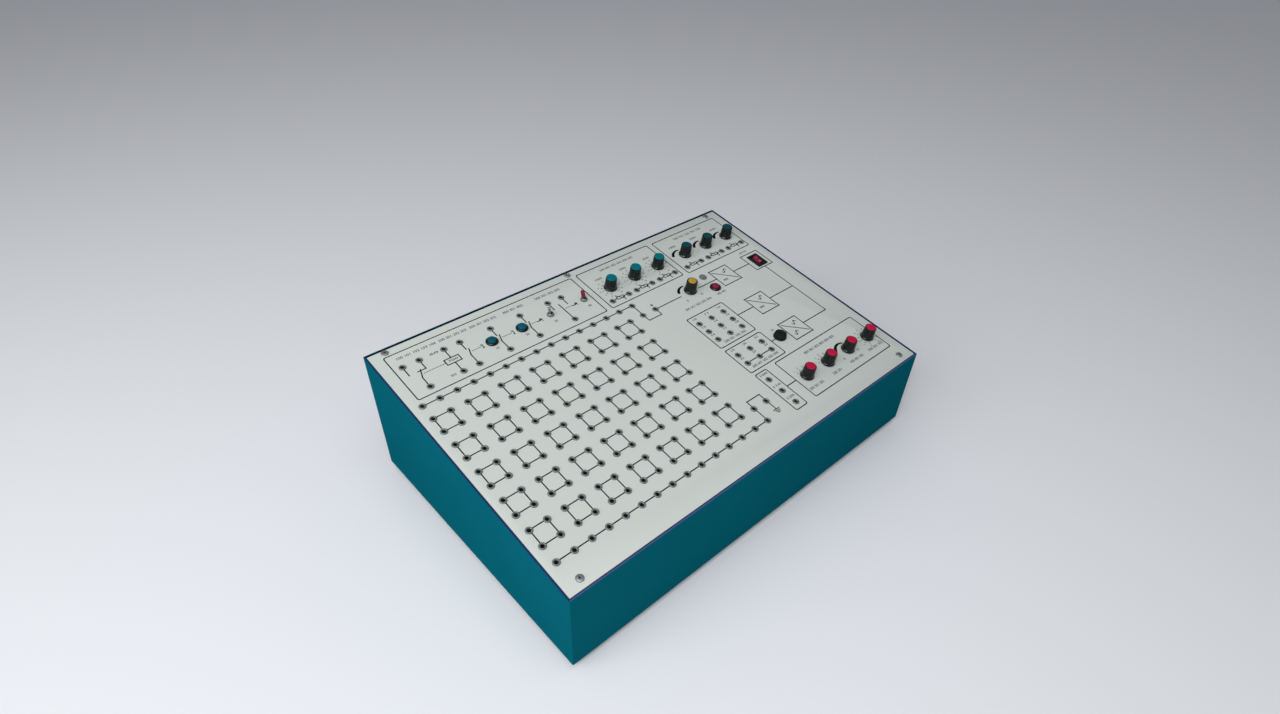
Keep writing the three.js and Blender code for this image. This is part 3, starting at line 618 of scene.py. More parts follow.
def makePlate(low, high, edge, drill, holes, window):
    plate = boxPiece("panelPlate", low, high)
    soften(plate, edge)
    knobs = decadeKnobs + resistorKnobs + [sourceKnob] + generatorKnobs
    cutters = []
    places = (socketSpots(), knobs, toggles, buttons, [lampSpot], [fuseSpot])
    for spots, (radius, sides) in zip(places, holes):
        tool = turned("drill", [(radius, end) for end in drill], sides)
        cutters += [copied(tool, "hole", onPlate(x, y)) for x, y in spots]
        removeAll(tool)
    x, y = (a + b for a, b in zip(rockerSpot, firstSocket))
    cutters.append(block("window", window, *drill, x, y))
    carve(plate, joined("holes", cutters))
    plate.data.transform(panelPlace)
    smooth(plate, 30)
    coat(plate, palePaint)
    seat(plate, "case", "panel_paint", "top_panel")


makePlate(**plateValues)
print("panel: cut and drilled")


# plug sockets: one is modelled, the rest are copies
socketValues = {"radius": 3.7, "height": 1.1, "bore": 2.0, "mouth": 2.5, "depth": 8, "sides": 14}


def makeSockets(radius, height, bore, mouth, depth, sides):
    socket = turned("socket", [
        (radius, -depth), (radius, height * 0.6), (radius - 0.5, height), (mouth, height),
        (bore, height * 0.5), (bore, 0.6 - depth)], sides)
    coat(socket, socketMetal)
    # the bore and the part below the panel get the darker metal: painted shade inside the hole
    coat(socket, paintedThroatShade, lambda middle, normal: middle.xy.length < bore + 0.05 or middle.z < 0)
    sockets = [copied(socket, "plugSocket", onPanel(x, y)) for x, y in socketSpots()]
    removeAll(socket)
    print("sockets:", len(sockets))
    seat(joined("plugSockets", sockets), "case", "bright_metal")


makeSockets(**socketValues)


# cross-head screws
screwValues = {
    "radius": 3.9, "height": 1.4, "shank": 1.6, "length": 7, "recess": 0.9, "slot": 1, "reach": 2.3,
    "narrowing": (0.45, 0.7, 1),
}


def crossScrew(name, radius, height, shank, length, recess, slot, reach, narrowing):
    screw = turned(name, [
        (shank, -length), (shank, 0.02), (radius, 0.02), (radius, height * 0.35),
        (radius * 0.93, height * 0.66), (radius * 0.72, height * 0.9), (radius * 0.4, height),
        (0.1, height)], 32)
    floor = height - recess
    for turn in (0, 90):
        bar = block("bar", (2 * reach, slot), floor, height + 1)
        pick(bar, "FACE", lambda middle, normal: normal.z < -0.9)
        bpy.ops.transform.resize(value=narrowing, center_override=(0, 0, 0))
        unselect()
        bar.data.transform(spin(turn))
        carve(screw, bar)
    smooth(screw, 32)

    def inCross(middle, normal):
        narrow, wide = sorted((abs(middle.x), abs(middle.y)))
        inside = floor - 0.1 < middle.z < height * 0.9 and narrow < slot / 2 + 0.05 and wide < reach + 0.05
        return inside and (normal.z < 0.5 or middle.z < height * 0.5)

    coat(screw, screwMetal)
    # the cross recess is coated dull black: painted shade in the recess
    coat(screw, dullBlack, inCross)
    return screw


screw = crossScrew("screw", **screwValues)
for i, ((x, y), turn) in enumerate(zip(panelScrewSpots, (20, 65, 5, 40, 80)), 1):
    seat(copied(screw, f"panelScrew_{i}", onPanel(x, y, turn)), "case", "bright_metal")
removeAll(screw)
print("screws: set")


# rubber feet
footValues = {"height": 7, "bottom": 7.5, "top": 9, "stem": 3, "stemTop": 3}


def makeFeet(height, bottom, top, stem, stemTop):
    foot = turned("foot", [
        (bottom, -height, (-0.5, 0), (0, 0.5)), (top, 0, (0, -0.9), (-0.2, -0.4), (-0.6, -0.3)),
        (stem, -0.3), (stem, stemTop, (0, -0.4), (-0.5, 0))])
    coat(foot, footRubber)
    for corner in ("front_left", "front_right", "rear_left", "rear_right"):
        low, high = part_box("foot_" + corner)
        middle = (low + high) / 2 / mm
        twin = copied(foot, "rubberFoot_" + corner, shift(middle.x, middle.y, height))
        seat(twin, "case", "foot_rubber", "foot_" + corner)
    removeAll(foot)


makeFeet(**footValues)
print("feet: made")


# knobs with their coloured caps
knobValues = {
    "sides": 56, "lift": 0.9, "skirt": 8, "waist": 7.02, "top": 6.45, "height": 15.4,
    "shaft": 3, "shaftEnd": -7, "flute": (0.1, 0.28),
}
knobGroups = (
    (6.05, decadeKnobs, "decade_{}_1 decade_{}_2 decade_{}_3", tealCap, "teal_plastic"),
    (5.45, resistorKnobs, "resistor_{}_1 resistor_{}_2 resistor_{}_3", darkTealCap, "dark_teal_plastic"),
    (4.85, [sourceKnob], "source_{}", yellowCap, "yellow_plastic"),
    (5.45, generatorKnobs, "waveform_{} range_{} amplitude_{} frequency_{}", redCap, "red_plastic"),
)


def makeKnob(capRadius, sides, lift, skirt, waist, top, height, shaft, shaftEnd, flute):
    rim = capRadius + 0.12
    knob = turned("knob", [
        (shaft, shaftEnd), (shaft, lift),
        (skirt, lift, (-0.7, 0), (-0.1, 0.3), (0, 0.65), (0, 0.95), (-0.05, 1.1)),
        (waist, lift, (0.05, 2.1), (0, 2.4), (-0.03, 3.2)),
        (top, height, (0.05, -0.9), (0, -0.45), (-0.12, -0.12), (-0.2, 0)),
        (rim, height), (rim, height - 0.7),
    ], sides)
    fluted(knob, sides, lift + 3.5, height - 1, 0, flute)
    smooth(knob, 28)
    coat(knob, glossBlack)
    return knob


def makeCap(radius, sides, height):
    return turned("cap", [
        (radius, height, (0, -0.6), (0, 0.45), (-0.12, 0.7), (-0.45, 0.85)),
        (radius * 0.6, height + 0.98), (radius * 0.25, height + 1.02), (0.1, height + 1.03),
    ], sides)


def makeKnobs(values):
    for radius, spots, stems, color, slotName in knobGroups:
        knob, cap = makeKnob(radius, **values), makeCap(radius, values["sides"], values["height"])
        coat(cap, color)
        for stem, spot in zip(stems.split(), spots):
            knobNode, capNode, body = (stem.format(part) for part in ("knob", "cap", "dial"))
            seat(copied(knob, "knobBody_" + knobNode, onPanel(*spot)), body, "black_gloss", knobNode)
            seat(copied(cap, "knobTop_" + capNode, onPanel(*spot)), body, slotName, capNode)
        removeAll(knob, cap)


makeKnobs(knobValues)
print("knobs: fluted and capped")


# toggle switches
toggleValues = {
    "bushing": 2.95, "top": 3.4, "thread": 0.16, "throat": 1.8, "mouth": 2.5, "well": -1, "nut": 4.2,
    "nutLow": 0.3, "nutHigh": 2.1, "washer": 4.1, "body": (13, 8, 10),
}
toggleLean = {"pivot": 1, "tilt": -14}
leverValues = {"foot": 1.25, "tip": 1.6, "tail": -1.5, "length": 11.5}
sleeveValues = {"radius": 2.3, "bore": 1.9, "start": 4.2, "end": 13.4}


def makeToggles(bushing, top, thread, throat, mouth, well, nut, nutLow, nutHigh, washer, body):
    turns = []
    for i in range(4):
        turns += [(bushing, nutHigh + 0.1 + i * 0.28, (0, 0), (-thread, 0.14))]
    tube = turned("tube", [(bushing, -2.4), (bushing, nutHigh)] + turns + [
        (bushing, top, (-0.1, -0.06), (-0.22, 0)), (mouth, top),
        (throat, toggleLean["pivot"] + 0.2), (throat, well)], 32)
    hexagon = turned("nut", [
        (nut, nutLow, (-0.25, 0), (0, 0.2)), (nut, nutHigh, (0, -0.25), (-0.35, 0)),
        (bushing + 0.05, nutHigh), (bushing + 0.05, nutLow + 0.05)], 6)
    disc = turned("washer", [
        (washer, 0.02), (washer, nutLow - 0.02), (bushing + 0.1, nutLow - 0.02), (bushing + 0.1, 0.04)], 32)
    box = block("body", body[:2], underside - body[2], underside)
    soften(box, 0.5, 3)
    coat(box, satinBlack)
    for part in (tube, hexagon, disc):
        coat(part, greyMetal)
    # the inside of the bushing is coated dull black: painted shade in the throat
    coat(tube, dullBlack, lambda middle, normal: middle.xy.length < mouth and middle.z < top - 0.1)
    for i, (x, y) in enumerate(toggles, 1):
        parts = [copied(part, "toggle", onPanel(x, y)) for part in (tube, hexagon, disc, box)]
        whole = joined(f"toggleHousing_{i}", parts)
        smooth(whole, 30)
        seat(whole, "case", "bright_metal", f"toggle_body_{i}")
    removeAll(tube, hexagon, disc, box)


def leaning(spot):
    return onPanel(*spot) @ shift(0, 0, toggleLean["pivot"]) @ spin(toggleLean["tilt"], "Y")


def makeLevers(foot, tip, tail, length):
    lever = turned("lever", [
        (foot * 0.8, tail), (foot, tail + 0.2), (foot, 0), (tip * 0.97, length - 1.2), (tip, length - 0.8),
        (tip * 0.93, length - 0.35), (tip * 0.7, length - 0.08), (tip * 0.3, length), (0.05, length)], 28)
    coat(lever, greyMetal)
    for i, spot in enumerate(toggles, 1):
        twin = copied(lever, f"toggleBat_{i}", leaning(spot))
        seat(twin, f"toggle_stick_{i}", "bright_metal", f"toggle_lever_{i}")
    removeAll(lever)


def makeSleeve(radius, bore, start, end):
    cover = turned("leverSleeve", [
        (0.2, end), (radius * 0.7, end - 0.02), (radius * 0.92, end - 0.15), (radius, end - 0.45),
        (radius, start, (0, 0.25), (-0.15, 0)), (bore, start), (bore, end - 1.6)], 32)
    install(cover, maroon, leaning(toggles[1]), "toggle_stick_2", "red_plastic", "toggle_sleeve")


makeToggles(**toggleValues)
makeLevers(**leverValues)
makeSleeve(**sleeveValues)
print("toggles: made")


# push buttons
buttonValues = {
    "barrel": 6, "barrelEnd": -16, "bezel": 6.9, "high": 2.1, "gap": 0.4, "well": -5.2, "capEnd": -3,
    "top": 4.6,
}


def makeButton(name, spot, cap, color, slotName, barrel, barrelEnd, bezel, high, gap, well, capEnd, top):
    bore = cap + gap
    housing = turned("bezel_" + name, [
        (barrel, barrelEnd), (barrel, standOff),
        (bezel, 0, (-0.15, standOff), (0, 0.25), (0, 0.9), (-0.15, 1.35), (-0.5, 1.8)),
        (bezel - 0.95, high), (bore, high, (0.25, -0.05), (0.05, -0.3), (0, -0.7)), (bore, well)], 48)
    dome = turned("dome_" + name, [
        (cap, capEnd, (-0.3, 0), (0, 0.3)),
        (cap, top, (0, -1.5), (-0.12, -1.05), (-0.45, -0.65), (-1.1, -0.32), (-2.1, -0.12), (-3.3, -0.02)),
        (0.1, top)], 48)
    install(housing, glossBlack, onPanel(*spot), "case", "black_gloss", name + "_housing")
    install(dome, color, onPanel(*spot), name, slotName, name + "_cap")


makeButton("push_button_1", buttons[0], 4.8, tealGloss, "blue_plastic", **buttonValues)
makeButton("push_button_2", buttons[1], 4.8, tealGloss, "blue_plastic", **buttonValues)
makeButton("reset_button", buttons[2], 4.35, maroon, "red_plastic", **buttonValues)
print("buttons: made")


# mains rocker
rockerValues = {
    "collar": (16, 21.5), "high": 2, "body": (13, 18.5), "depth": 16, "window": (9, 16.1), "well": -5.2,
    "rocker": (6.4, 12), "drop": 3, "crown": 3.2, "edge": 0.5, "pivot": -1, "tilt": 9,
    "mark": (0.5, 2.2), "markPlace": 0.55,
}


def makeRocker(collar, high, body, depth, window, well, rocker, drop, crown, edge, pivot, tilt, mark,
               markPlace):
    inner = (collar[0] - 1, collar[1] - 1)
    holder = stepped("rockerHolder", body, -depth, 0.04, [
        (0, collar), (high - 0.5, collar), (0.46, inner), (-0.35, window), (well - high + 0.35, window)])
    soften(holder, 0.18, angle=25)
    smooth(holder, 30)
    install(holder, satinBlack, onPanel(*rockerSpot), "case", "black_gloss", "rocker_frame")

    end, steep = rocker[1] / 2, math.tan(math.radians(tilt))
    rise = crown + end * steep
    paddle = block("rockerPaddle", rocker, -drop, rise)
    chooseAll(paddle)
    bpy.ops.mesh.bisect(plane_co=(0, 0, 0), plane_no=(0, 1, 0))
    pick(paddle, "VERT", lambda point: abs(point.y) < 0.01 and point.z > rise - 0.1)
    bpy.ops.transform.translate(value=(0, 0, (crown - rise) * mm))
    soften(paddle, edge, 3, 40)
    smooth(paddle)
    tipped = onPanel(*rockerSpot) @ shift(0, 0, pivot) @ spin(tilt, "X")
    install(paddle, maroon, tipped, "rocker", "red_plastic", "rocker")

    width, half = mark[0], mark[1] / 2
    bar = block("bar", mark, 0, 0.05)
    ring = turned("ring", [(half - 0.1, 0), (half, 0.05), (half - width, 0.05), (half - width, 0.01)], 32)
    spot = end * markPlace
    for piece, side in ((bar, 1), (ring, -1)):
        piece.data.transform(shift(0, side * spot, crown + spot * steep + 0.01) @ spin(side * tilt, "X"))
    install(joined("rockerMarks", [bar, ring]), paleInk, tipped, "rocker", "panel_paint")


makeRocker(**rockerValues)
print("rocker: made")


# fuse holder and lamp
fuseValues = {
    "barrel": 6.2, "barrelEnd": -32, "flange": 7.6, "high": 1.8, "bore": 4.6, "cap": 6.9, "low": 2.1,
    "top": 5.7, "stem": 4.2, "stemEnd": -7, "link": 2.6, "linkEnd": -27, "slot": (1.4, 1.0), "sides": 64,
    "ridge": (0.06, 0.18), "turn": 25,
}
lampValues = {"sleeve": 3.6, "sleeveEnd": -6, "bezel": 4.7, "high": 1.6, "radius": 2.9, "top": 3.6}


def makeFuse(barrel, barrelEnd, flange, high, bore, cap, low, top, stem, stemEnd, link, linkEnd, slot,
             sides, ridge, turn):
    holder = turned("fuseSocket", [
        (barrel, barrelEnd), (barrel, standOff), (flange - 0.1, standOff), (flange, 0.2),
        (flange, high, (0, -0.4), (-0.3, -0.05), (-0.6, 0)), (bore, high, (0.2, 0), (0, -0.2)),
        (bore, barrelEnd + 2)], 48)
    knob = turned("fuseTop", [
        (link, linkEnd), (link, stemEnd), (stem, stemEnd), (stem, low), (cap, low, (-0.2, 0), (0, 0.2)),
        (cap, top, (0, -0.8), (-0.25, -0.35), (-0.8, -0.05)), (cap * 0.6, top), (0.1, top)], sides)
    blade = block("blade", (slot[0], cap * 1.6), top - slot[1], top + 1)
    fluted(knob, sides, low + 0.3, top - 0.85, cap - 0.2, ridge)
    carve(knob, blade)
    smooth(knob, 30)
    install(holder, satinBlack, onPanel(*fuseSpot), "case", "black_gloss", "fuse_holder")
    install(knob, satinBlack, onPanel(*fuseSpot, turn), "fuse_cap", "black_gloss", "fuse_cap")


def makeLamp(sleeve, sleeveEnd, bezel, high, radius, top):
    ring = turned("lampBezel", [
        (sleeve, sleeveEnd), (sleeve, standOff), (bezel - 0.1, standOff), (bezel, 0.15),
        (bezel, high, (0, -0.7), (-0.3, -0.15), (-0.7, 0)), (radius, high, (0.25, 0), (0.08, -0.2)),
        (radius + 0.06, -1.2)])
    coat(ring, greyMetal)
    coat(ring, dullBlack, lambda middle, normal: middle.xy.length < radius + 0.6 and middle.z > 0)
    bulb = turned("lampLens", [
        (radius, -1), (radius, top - 1.6), (radius * 0.95, top - 1.05), (radius * 0.8, top - 0.55),
        (radius * 0.55, top - 0.2), (radius * 0.25, top - 0.03), (0.1, top)])
    ring.data.transform(onPanel(*lampSpot))
    seat(ring, "case", "bright_metal", "panel_lamp")
    install(bulb, lens, onPanel(*lampSpot), "case", "bright_metal")


makeFuse(**fuseValues)
makeLamp(**lampValues)
print("fuse and lamp: made")


# mains inlet in the rear wall
inletValues = {
    "centre": (191.9, 162.583, 51), "tub": (28, 20.5), "depth": 24, "lift": 0.02,
    "flange": (50, 25), "thick": 2.5, "gap": 0.3, "flangeCorner": 6,
    "cavity": (24, 16.5), "cavityDepth": 18, "cavityCorner": 3.6,
    "pin": (2, 4), "pinLength": 12, "pinSpots": ((-7, -2), (0, 2), (7, -2)), "screws": 20,
}
inletScrewValues = dict(screwValues, radius=3, shank=1.4, length=6, recess=0.8, slot=0.6, reach=1.6)


def makeInlet(centre, tub, depth, lift, flange, thick, gap, flangeCorner, cavity, cavityDepth, cavityCorner,
              pin, pinLength, pinSpots, screws):
    # the inlet's own up is the case's rearwards
    inWall = shift(*centre) @ Matrix(((-1, 0, 0, 0), (0, 0, 1, 0), (0, 1, 0, 0), (0, 0, 0, 1)))
    top = gap + thick
    body = stepped("inletBody", tub, -depth, lift, [
        (0, flange), (top - lift, flange), (0, cavity), (-cavityDepth, cavity)])

    def isFlangeCorner(middle, along):
        return abs(along.z) > 1 and abs(abs(middle.x) - flange[0] / 2) < 0.01

    def isCavityCorner(middle, along):
        return abs(along.z) > 5 and abs(abs(middle.x) - cavity[0] / 2) < 0.01 and middle.y > 1

    pick(body, "EDGE", isFlangeCorner)
    bevel(flangeCorner, 5)
    pick(body, "EDGE", isCavityCorner)
    bevel(cavityCorner, 2)
    soften(body, 0.3, angle=50)
    smooth(body, 30)
    install(body, satinBlack, inWall, "case", "black_matte", "mains_inlet")
    floor = top - cavityDepth
    parts = []
    for x, y in pinSpots:
        parts.append(block("pin", pin, floor - 0.3, floor + pinLength, x, y))
        pick(parts[-1], "FACE", isTop)
        bevel(0.5, 3)
    pins = joined("inletPins", parts)
    smooth(pins)
    install(pins, brightMetal, inWall, "case", "bright_metal")
    head = crossScrew("head", **inletScrewValues)
    for i, side in enumerate((-1, 1), 1):
        spot = inWall @ shift(side * screws, 0, top) @ Matrix.Rotation(side * 0.5, 4, "Z")
        seat(copied(head, f"inletScrew_{i}", spot), "case", "bright_metal")
    removeAll(head)


makeInlet(**inletValues)
print("inlet: made")


# what is printed on the panel
printValues = {
    "line": 1.25, "frame": 1.2, "thin": 1.05, "hair": 0.7, "dots": (0.3, 1.8, 0.9), "round": 2.2,
    "text": 3.4, "small": 2.4, "textScale": 1.35, "bold": 0.1, "nudge": 0.4, "tick": (9.4, 10.8),
}
strokes = {"ink": [], "greyInk": []}
labels = {"ink": [], "greyInk": []}


def line(*points, width=None, shade="ink"):
    strokes[shade].extend((a, b, width or printValues["line"]) for a, b in zip(points, points[1:]))


def fine(*points):
    line(*points, width=printValues["thin"])


def toward(x, y, angle, reach):
    turn = math.radians(angle)
    return x + reach * math.cos(turn), y + reach * math.sin(turn)


def rectangle(left, low, right, high, width=None, corner=0):
    points = []
    for x, y, inX, inY, start in ((right, low, -1, 1, -90), (right, high, -1, -1, 0),
                                  (left, high, 1, -1, 90), (left, low, 1, 1, 180)):
        for step in range(4 if corner else 1):
            points.append(toward(x + corner * inX, y + corner * inY, start + step * 30, corner))
    line(*points, points[0], width=width or printValues["frame"])


def rounded(left, low, right, high):
    rectangle(left, low, right, high, corner=printValues["round"])


def blob(x, y, width):
    line((x, y), (x, y + 0.01), width=width)


def dotted(start, end, y):
    length, step, width = printValues["dots"]
    x = start
    while x < end:
        line((x, y), (min(x + length, end), y), width=width)
        x += step


def number(text, x, y, size=None, shade="greyInk", width=None):
    labels[shade].append((str(text), x, y, size or printValues["small"], width))


def caption(start, left, right, y, size=3.6):
    # plain numbers that count on, filling the space between left and right
    amount = max(1, round((right - left) / (size * 2.5)))
    number(" ".join(str(start + i) for i in range(amount)), (left + right) / 2, y, size, width=right - left)


def sine(x, y, length, height, turn):
    # one wave along a slanting line
    steps, points = 12, []
    for i in range(steps + 1):
        share = i / steps
        middle = toward(x, y, turn, length * (share - 0.5))
        points.append(toward(*middle, turn + 90, -height / 2 * math.sin(share * 2 * math.pi)))
    fine(*points)


def crescent(x, y, start, end, reach, endReach):
    # a comma-shaped scale that narrows and closes in as it goes round
    steps, points = 14, []
    for i in range(steps + 1):
        share = i / steps
        points.append(toward(x, y, start + (end - start) * share, reach + (endReach - reach) * share))
    for i, (a, b) in enumerate(zip(points, points[1:])):
        line(a, b, width=3 if i == 0 else 3.7 - 2.1 * i / steps)


def dial(x, y, angles, numbers, reach=14.3):
    for angle, value in zip(angles, numbers):
        line(*(toward(x, y, angle, end) for end in printValues["tick"]), width=printValues["hair"])
        number(value, *toward(x, y, angle, reach))


def planSocketField():
    nudge = printValues["nudge"]
    far = 14 * pitch + 2 * nudge
    for column in range(0, 14, 2):
        for row in range(1, 11, 2):
            x, y = column * pitch + nudge, row * pitch + nudge
            rectangle(x, y, x + pitch, y + pitch, printValues["line"])
    for rail in (0, 11):
        line((nudge, rail * pitch + nudge), (far, rail * pitch + nudge))
    # source terminals at the far end, and the ground terminal at the near end
    line((far, 209), (far, 179.8), (285.8, 179.8), (285.8, 190))
    fine((284.8, 197.7), (287.6, 197.7))
    fine((286.2, 196.3), (286.2, 199.1))
    line((far, nudge), (far, 29.8), (285.9, 29.8), (285.9, 5.3))
    for left, right, y in ((281.8, 290, 5.3), (283.1, 288.8, 3.2), (284.3, 287.5, 1.2)):
        fine((left, y), (right, y))


def planSwitches():
    rounded(1.2, 218.2, 237.3, 285.8)
    top, low = 264.5, 227.5
    # relay: two contacts, blade and coil
    line((10.4, top), (10.4, 250.9))
    line((28.9, top), (28.9, 251.2), (19.8, 251.2))
    line((23.4, 252.6), (19.5, 241.5), (19.4, low))
    dotted(24, 48, 246.4)
    rectangle(48.6, 242.7, 65, 250.6, printValues["line"])
    line((56.8, top), (56.8, 250.6))
    line((56.8, 242.7), (56.8, low))
    # contacts closed by the push buttons and the two levers
    for x, reach in ((75.7, 91), (113.2, 129.2), (151, 161.5)):
        line((x, top), (x, 252.2))
        line((x + 2.8, 251.6), (x - 0.1, 242.7), (x, low))
        dotted(x + 4, reach, 246.9)
    for x in (92.6, 130.8):
        fine((x - 1.5, 249.3), (x, 249.3), (x, 244.2), (x - 1.2, 244.2))
    for x in (163, 211.6):
        fine((x - 1.5, 246.2), (x + 1.5, 246), (x + 3.6, 249), (x + 4.9, 244.8))
        blob(x + 1, 246.2, 1.5)
        fine((x + 2.6, 246.4), (x + 5.4, 247.8))
    # change-over contact
    line((188.8, top), (188.8, 251.8))
    line((207.4, top), (207.4, 252.2))
    line((198, 256.6), (198.3, low))
    dotted(200.8, 210, 247.1)
    for i, x in enumerate((103.3, 141.2, 179.3, 226.5), 1):
        number(f"{i}0", x, 236, printValues["text"])
    caption(50, 43, 49, 228, 3)
    caption(60, 41, 51, 265.2, 3)
    caption(700, 51.5, 62.5, 246.7, 3)
    for i, (left, right) in enumerate(((11, 55), (59, 92), (96, 129), (138, 164), (181, 215)), 1):
        caption(i * 100, left, right, 277.6)


def planResistors():
    rounded(245.5, 218.3, 356.9, 286.2)
    rounded(365.2, 217.2, 474.1, 285)
    caption(600, 275.5, 327, 278.2)
    caption(700, 395.5, 443.3, 276.8)
    for i, (x, y) in enumerate(decadeKnobs, 1):
        dial(x, y, range(240, -90, -30), range(11))
        caption(i * 1000, x - 6.8, x + 3.4, 266.9, 3.4)
    for i, (x, y) in enumerate(resistorKnobs, 1):
        crescent(x, y, 160, 95, 15.5, 12)
        caption(i * 1000, x - 9, x + 2.2, 266, 3.4)
    half = 4.9
    for pairs in (decadePairs, resistorPairs):
        y = pairs["row"] + 1
        for x in pairs["columns"]:
            x += printValues["nudge"]
            for side in (-1, 1):
                line((x + side * pairs["half"], y), (x + side * half, y))
            rectangle(x - half, y - 1.8, x + half, y + 1.8, printValues["thin"])
            fine((x - 3.9, y + 4.9), (x + 3.9, y - 4.1), (x + 3.1, y - 6))
            blob(x + 4, y - 1, 1.8)
            blob(x - 3.6, y + 4, 1.4)


def planSupplies():
    nudge = printValues["nudge"]
    # adjustable source
    line((285.8, 190), (325.8, 190.1))
    line((356, 190), (386.6, 190))
    crescent(*sourceKnob, 161, 96, 14.6, 11.5)
    number(0, 327.7, 180.2, 3, "ink")
    number(20, 351, 180.2, 3)
    caption(300, 313.5, 355.4, 169)
    caption(400, 366.5, 380.6, 169)
    caption(500, 448.5, 461, 210, 3)
    # mains switch and the three converters
    rectangle(443.7, 174.9, 472.6, 204.1)
    line((415.4, 189.2), (443.7, 189.2))
    line((458.4, 174.9), (458.3, 77), (416, 76.9))
    line((415.7, 129.2), (458.3, 129.2))
    for left, low, right, high in (
            (386.4, 175, 415.4, 204.4), (386.7, 114.3, 415.7, 144.2), (386.8, 62.1, 416.1, 91.3)):
        rectangle(left, low, right, high, printValues["line"])
        line((left + 2.6, high - 3), (right - 2.4, low + 3.2), width=1.4, shade="greyInk")
        blob(left, high, 1.7)
        blob(right, low, 1.7)
        sine(right - 9.3, high - 7.6, 7.6, 4.8, 10)
    sine(396.1, 70.3, 7.2, 4.6, 10)
    for y in (183.4, 123.6):
        fine((392.5, y + 0.6), (398.8, y + 0.6))
        dotted(392.7, 398.6, y - 1.1)
    # direct and alternating outlets
    rounded(302.4, 101.1, 359.7, 156.4)
    line((359.7, 129.5), (386.7, 129.5))
    rounded(302.4, 55.8, 359.6, 95.6)
    line((359.6, 76.8), (367, 76.8))
    line((380, 76.9), (386.8, 76.9))
    y = alternatingRows[1] + 2 * nudge
    line((directColumns[0], y), (directColumns[2] + nudge, y))
    for row, y in enumerate(directRows + alternatingRows):
        for column, x in enumerate(directColumns):
            number(row * 3 + column + 10, x + nudge, y + 8.6, 2.7, width=5.4)
    caption(500, 313.6, 348.1, 106.1)
    caption(600, 310.8, 352.5, 61.1)
    number(30, 374.5, 89, 3)


def planGenerator():
    rounded(302.9, -8.4, 320.4, 50.9)
    line((320.4, 20.3), (335.7, 20.3))
    rounded(335.7, -7.8, 473, 51.3)
    for i, y in enumerate((46.6, 27.3, 8)):
        caption(100 + i * 10, 306, 317, y, 3)
    caption(800, 376.3, 429, 42)
    for i, (left, right) in enumerate(((337.9, 361), (378.6, 393.5), (409.9, 433.7), (443.9, 471.2))):
        caption(200 + i * 100, left, right, 2.2)
    for i, first, angles in (
            (0, 1, (120, 90, 60)), (1, 1, (150, 120, 90, 60, 30)), (3, 0, range(240, -90, -30))):
        dial(*generatorKnobs[i], angles, range(first, 12), reach=13.8)
    x, y = generatorKnobs[2]
    crescent(x, y, 158, 72, 15, 11)
    number(0, x - 15.5, y - 7.6, 3, "ink")
    number(10, x + 10.5, y - 7, 3)


def drawStrokes(plan, level):
    # each stroke is a plane, stretched, turned and moved into place
    unselect()
    bpy.ops.mesh.primitive_plane_add(size=mm)
    sheet = bpy.context.object
    chooseAll(sheet)
    bpy.ops.mesh.delete(type="VERT")
    for (x1, y1), (x2, y2), width in plan:
        length, turn = math.hypot(x2 - x1, y2 - y1), math.atan2(y2 - y1, x2 - x1)
        bpy.ops.mesh.primitive_plane_add(size=mm)
        bpy.ops.transform.resize(value=(length + width, width, 1), center_override=(0, 0, 0))
        bpy.ops.transform.rotate(value=-turn, orient_axis="Z", center_override=(0, 0, 0))
        bpy.ops.transform.translate(value=((x1 + x2) / 2 * mm, (y1 + y2) / 2 * mm, level * mm))
    bpy.ops.object.mode_set(mode="OBJECT")
    return sheet


def drawNumber(text, x, y, size, width, level):
    unselect()
    bpy.ops.object.text_add()
    label = bpy.context.object
    label.data.body, label.data.size = text, size * printValues["textScale"] * mm
    label.data.offset = printValues["bold"] * mm
    label.data.align_x, label.data.align_y = "CENTER", "CENTER"
    label.data.resolution_u = 2
    bpy.ops.object.convert(target="MESH")
    stretch = width * mm / label.dimensions.x if width else 1
    label.data.transform(shift(x, y, level) @ Matrix.Diagonal((stretch, 1, 1, 1)))
    return label


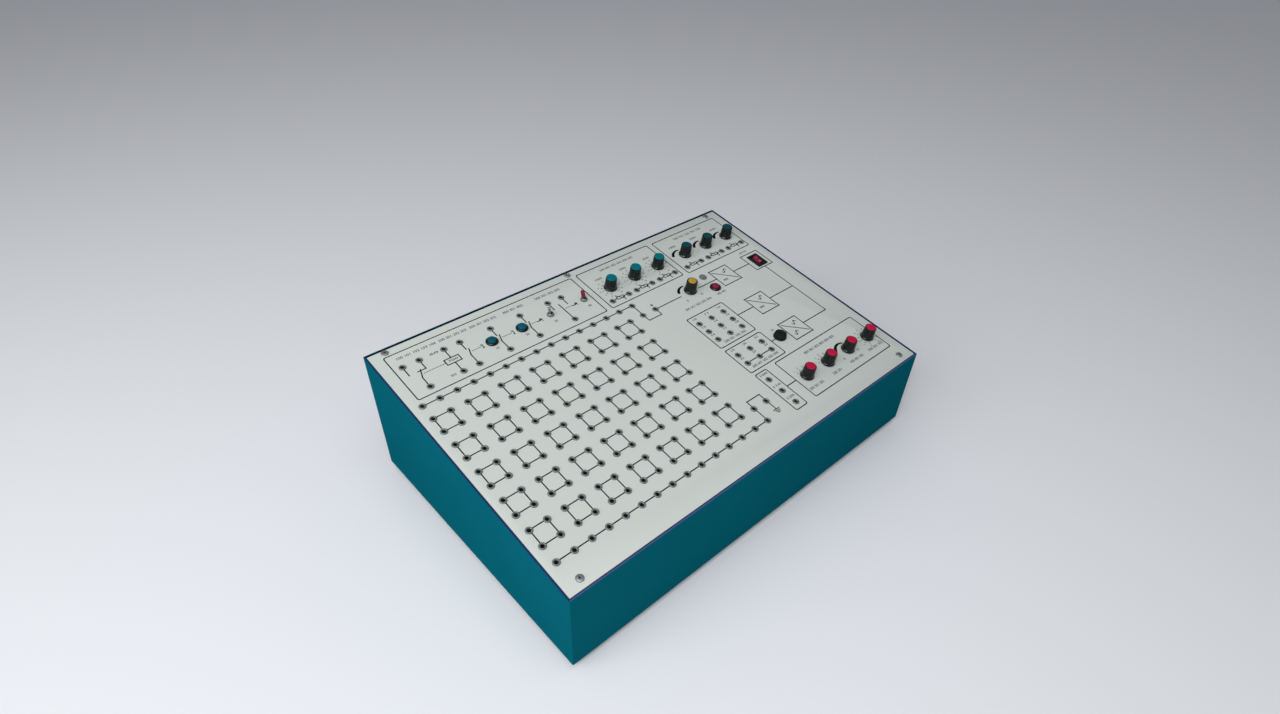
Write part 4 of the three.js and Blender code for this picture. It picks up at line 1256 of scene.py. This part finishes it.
def makePrint():
    planSocketField()
    planSwitches()
    planResistors()
    planSupplies()
    planGenerator()
    for shade, material, level in (("ink", ink, 0.04), ("greyInk", greyInk, 0.028)):
        parts = [drawStrokes(strokes[shade], level)]
        parts += [drawNumber(*label, level) for label in labels[shade]]
        sheet = joined("panelPrint_" + shade, parts)
        sheet.data.transform(onPanel(0, 0))
        for face in sheet.data.polygons:
            if face.normal.dot(upwards) < 0:
                face.flip()
        coat(sheet, material)
        seat(sheet, "case", "panel_paint")
        print(shade + ":", len(strokes[shade]), "strokes,", len(labels[shade]), "numbers")


makePrint()


# inner pieces keep their solids and get their finishes
innerFinishes = (
    (greyPlastic, "decade_switch_1", "decade_switch_2", "decade_switch_3"),
    (plainSteel, "resistor_pot_1", "resistor_pot_2", "resistor_pot_3", "source_pot", "transformer_strap"),
    (boardGreen, "generator_board", "supply_board"), (canSleeve, "capacitor"), (bluePlastic, "relay"),
    (coreSheets, "transformer_core"), (coilTape, "transformer_coil"), (blackMetal, "heat_sink"),
)
for material, *names in innerFinishes:
    for name in names:
        coat(nodes[name], material)
print("inner pieces: finished")


# floor and light
stageValues = {
    "size": 14, "color": (236, 238, 242), "sky": ((0.93, 0.95, 1, 1), 0.26), "target": (0, 0, 0.08),
    "lamps": (
        ("keyLight", (-1.8, 0.1, 1.2), 1.4, 15),
        ("topLight", (-0.45, -0.55, 1.8), 1.6, 12.2),
        ("nearLight", (-1.1, -0.68, 1.3), 0.26, 8),
    ),
}


def makeStage(size, color, sky, target, lamps):
    unselect()
    bpy.ops.mesh.primitive_plane_add(size=size)
    floor = bpy.context.object
    floor.name = "floor"
    recipe, color = Recipe("floorPaper"), paint(*color)
    coat(floor, recipe.surface(color, 0.8, [(recipe.noise(3, 2), 0.1, deeper(color, 0.93), 0.05)], {}))
    world = bpy.data.worlds.new("studio")
    bpy.context.scene.world = world
    world.use_nodes = True
    background = world.node_tree.nodes["Background"]
    background.inputs["Color"].default_value, background.inputs["Strength"].default_value = sky
    for name, place, width, power in lamps:
        bpy.ops.object.light_add(type="AREA", location=place)
        light = bpy.context.object
        light.name = name
        light.data.size, light.data.energy = width, power
        light.rotation_euler = (Vector(target) - Vector(place)).to_track_quat("-Z", "Y").to_euler()
    bpy.context.scene.view_settings.view_transform = "Standard"


makeStage(**stageValues)
print("stage: lit")
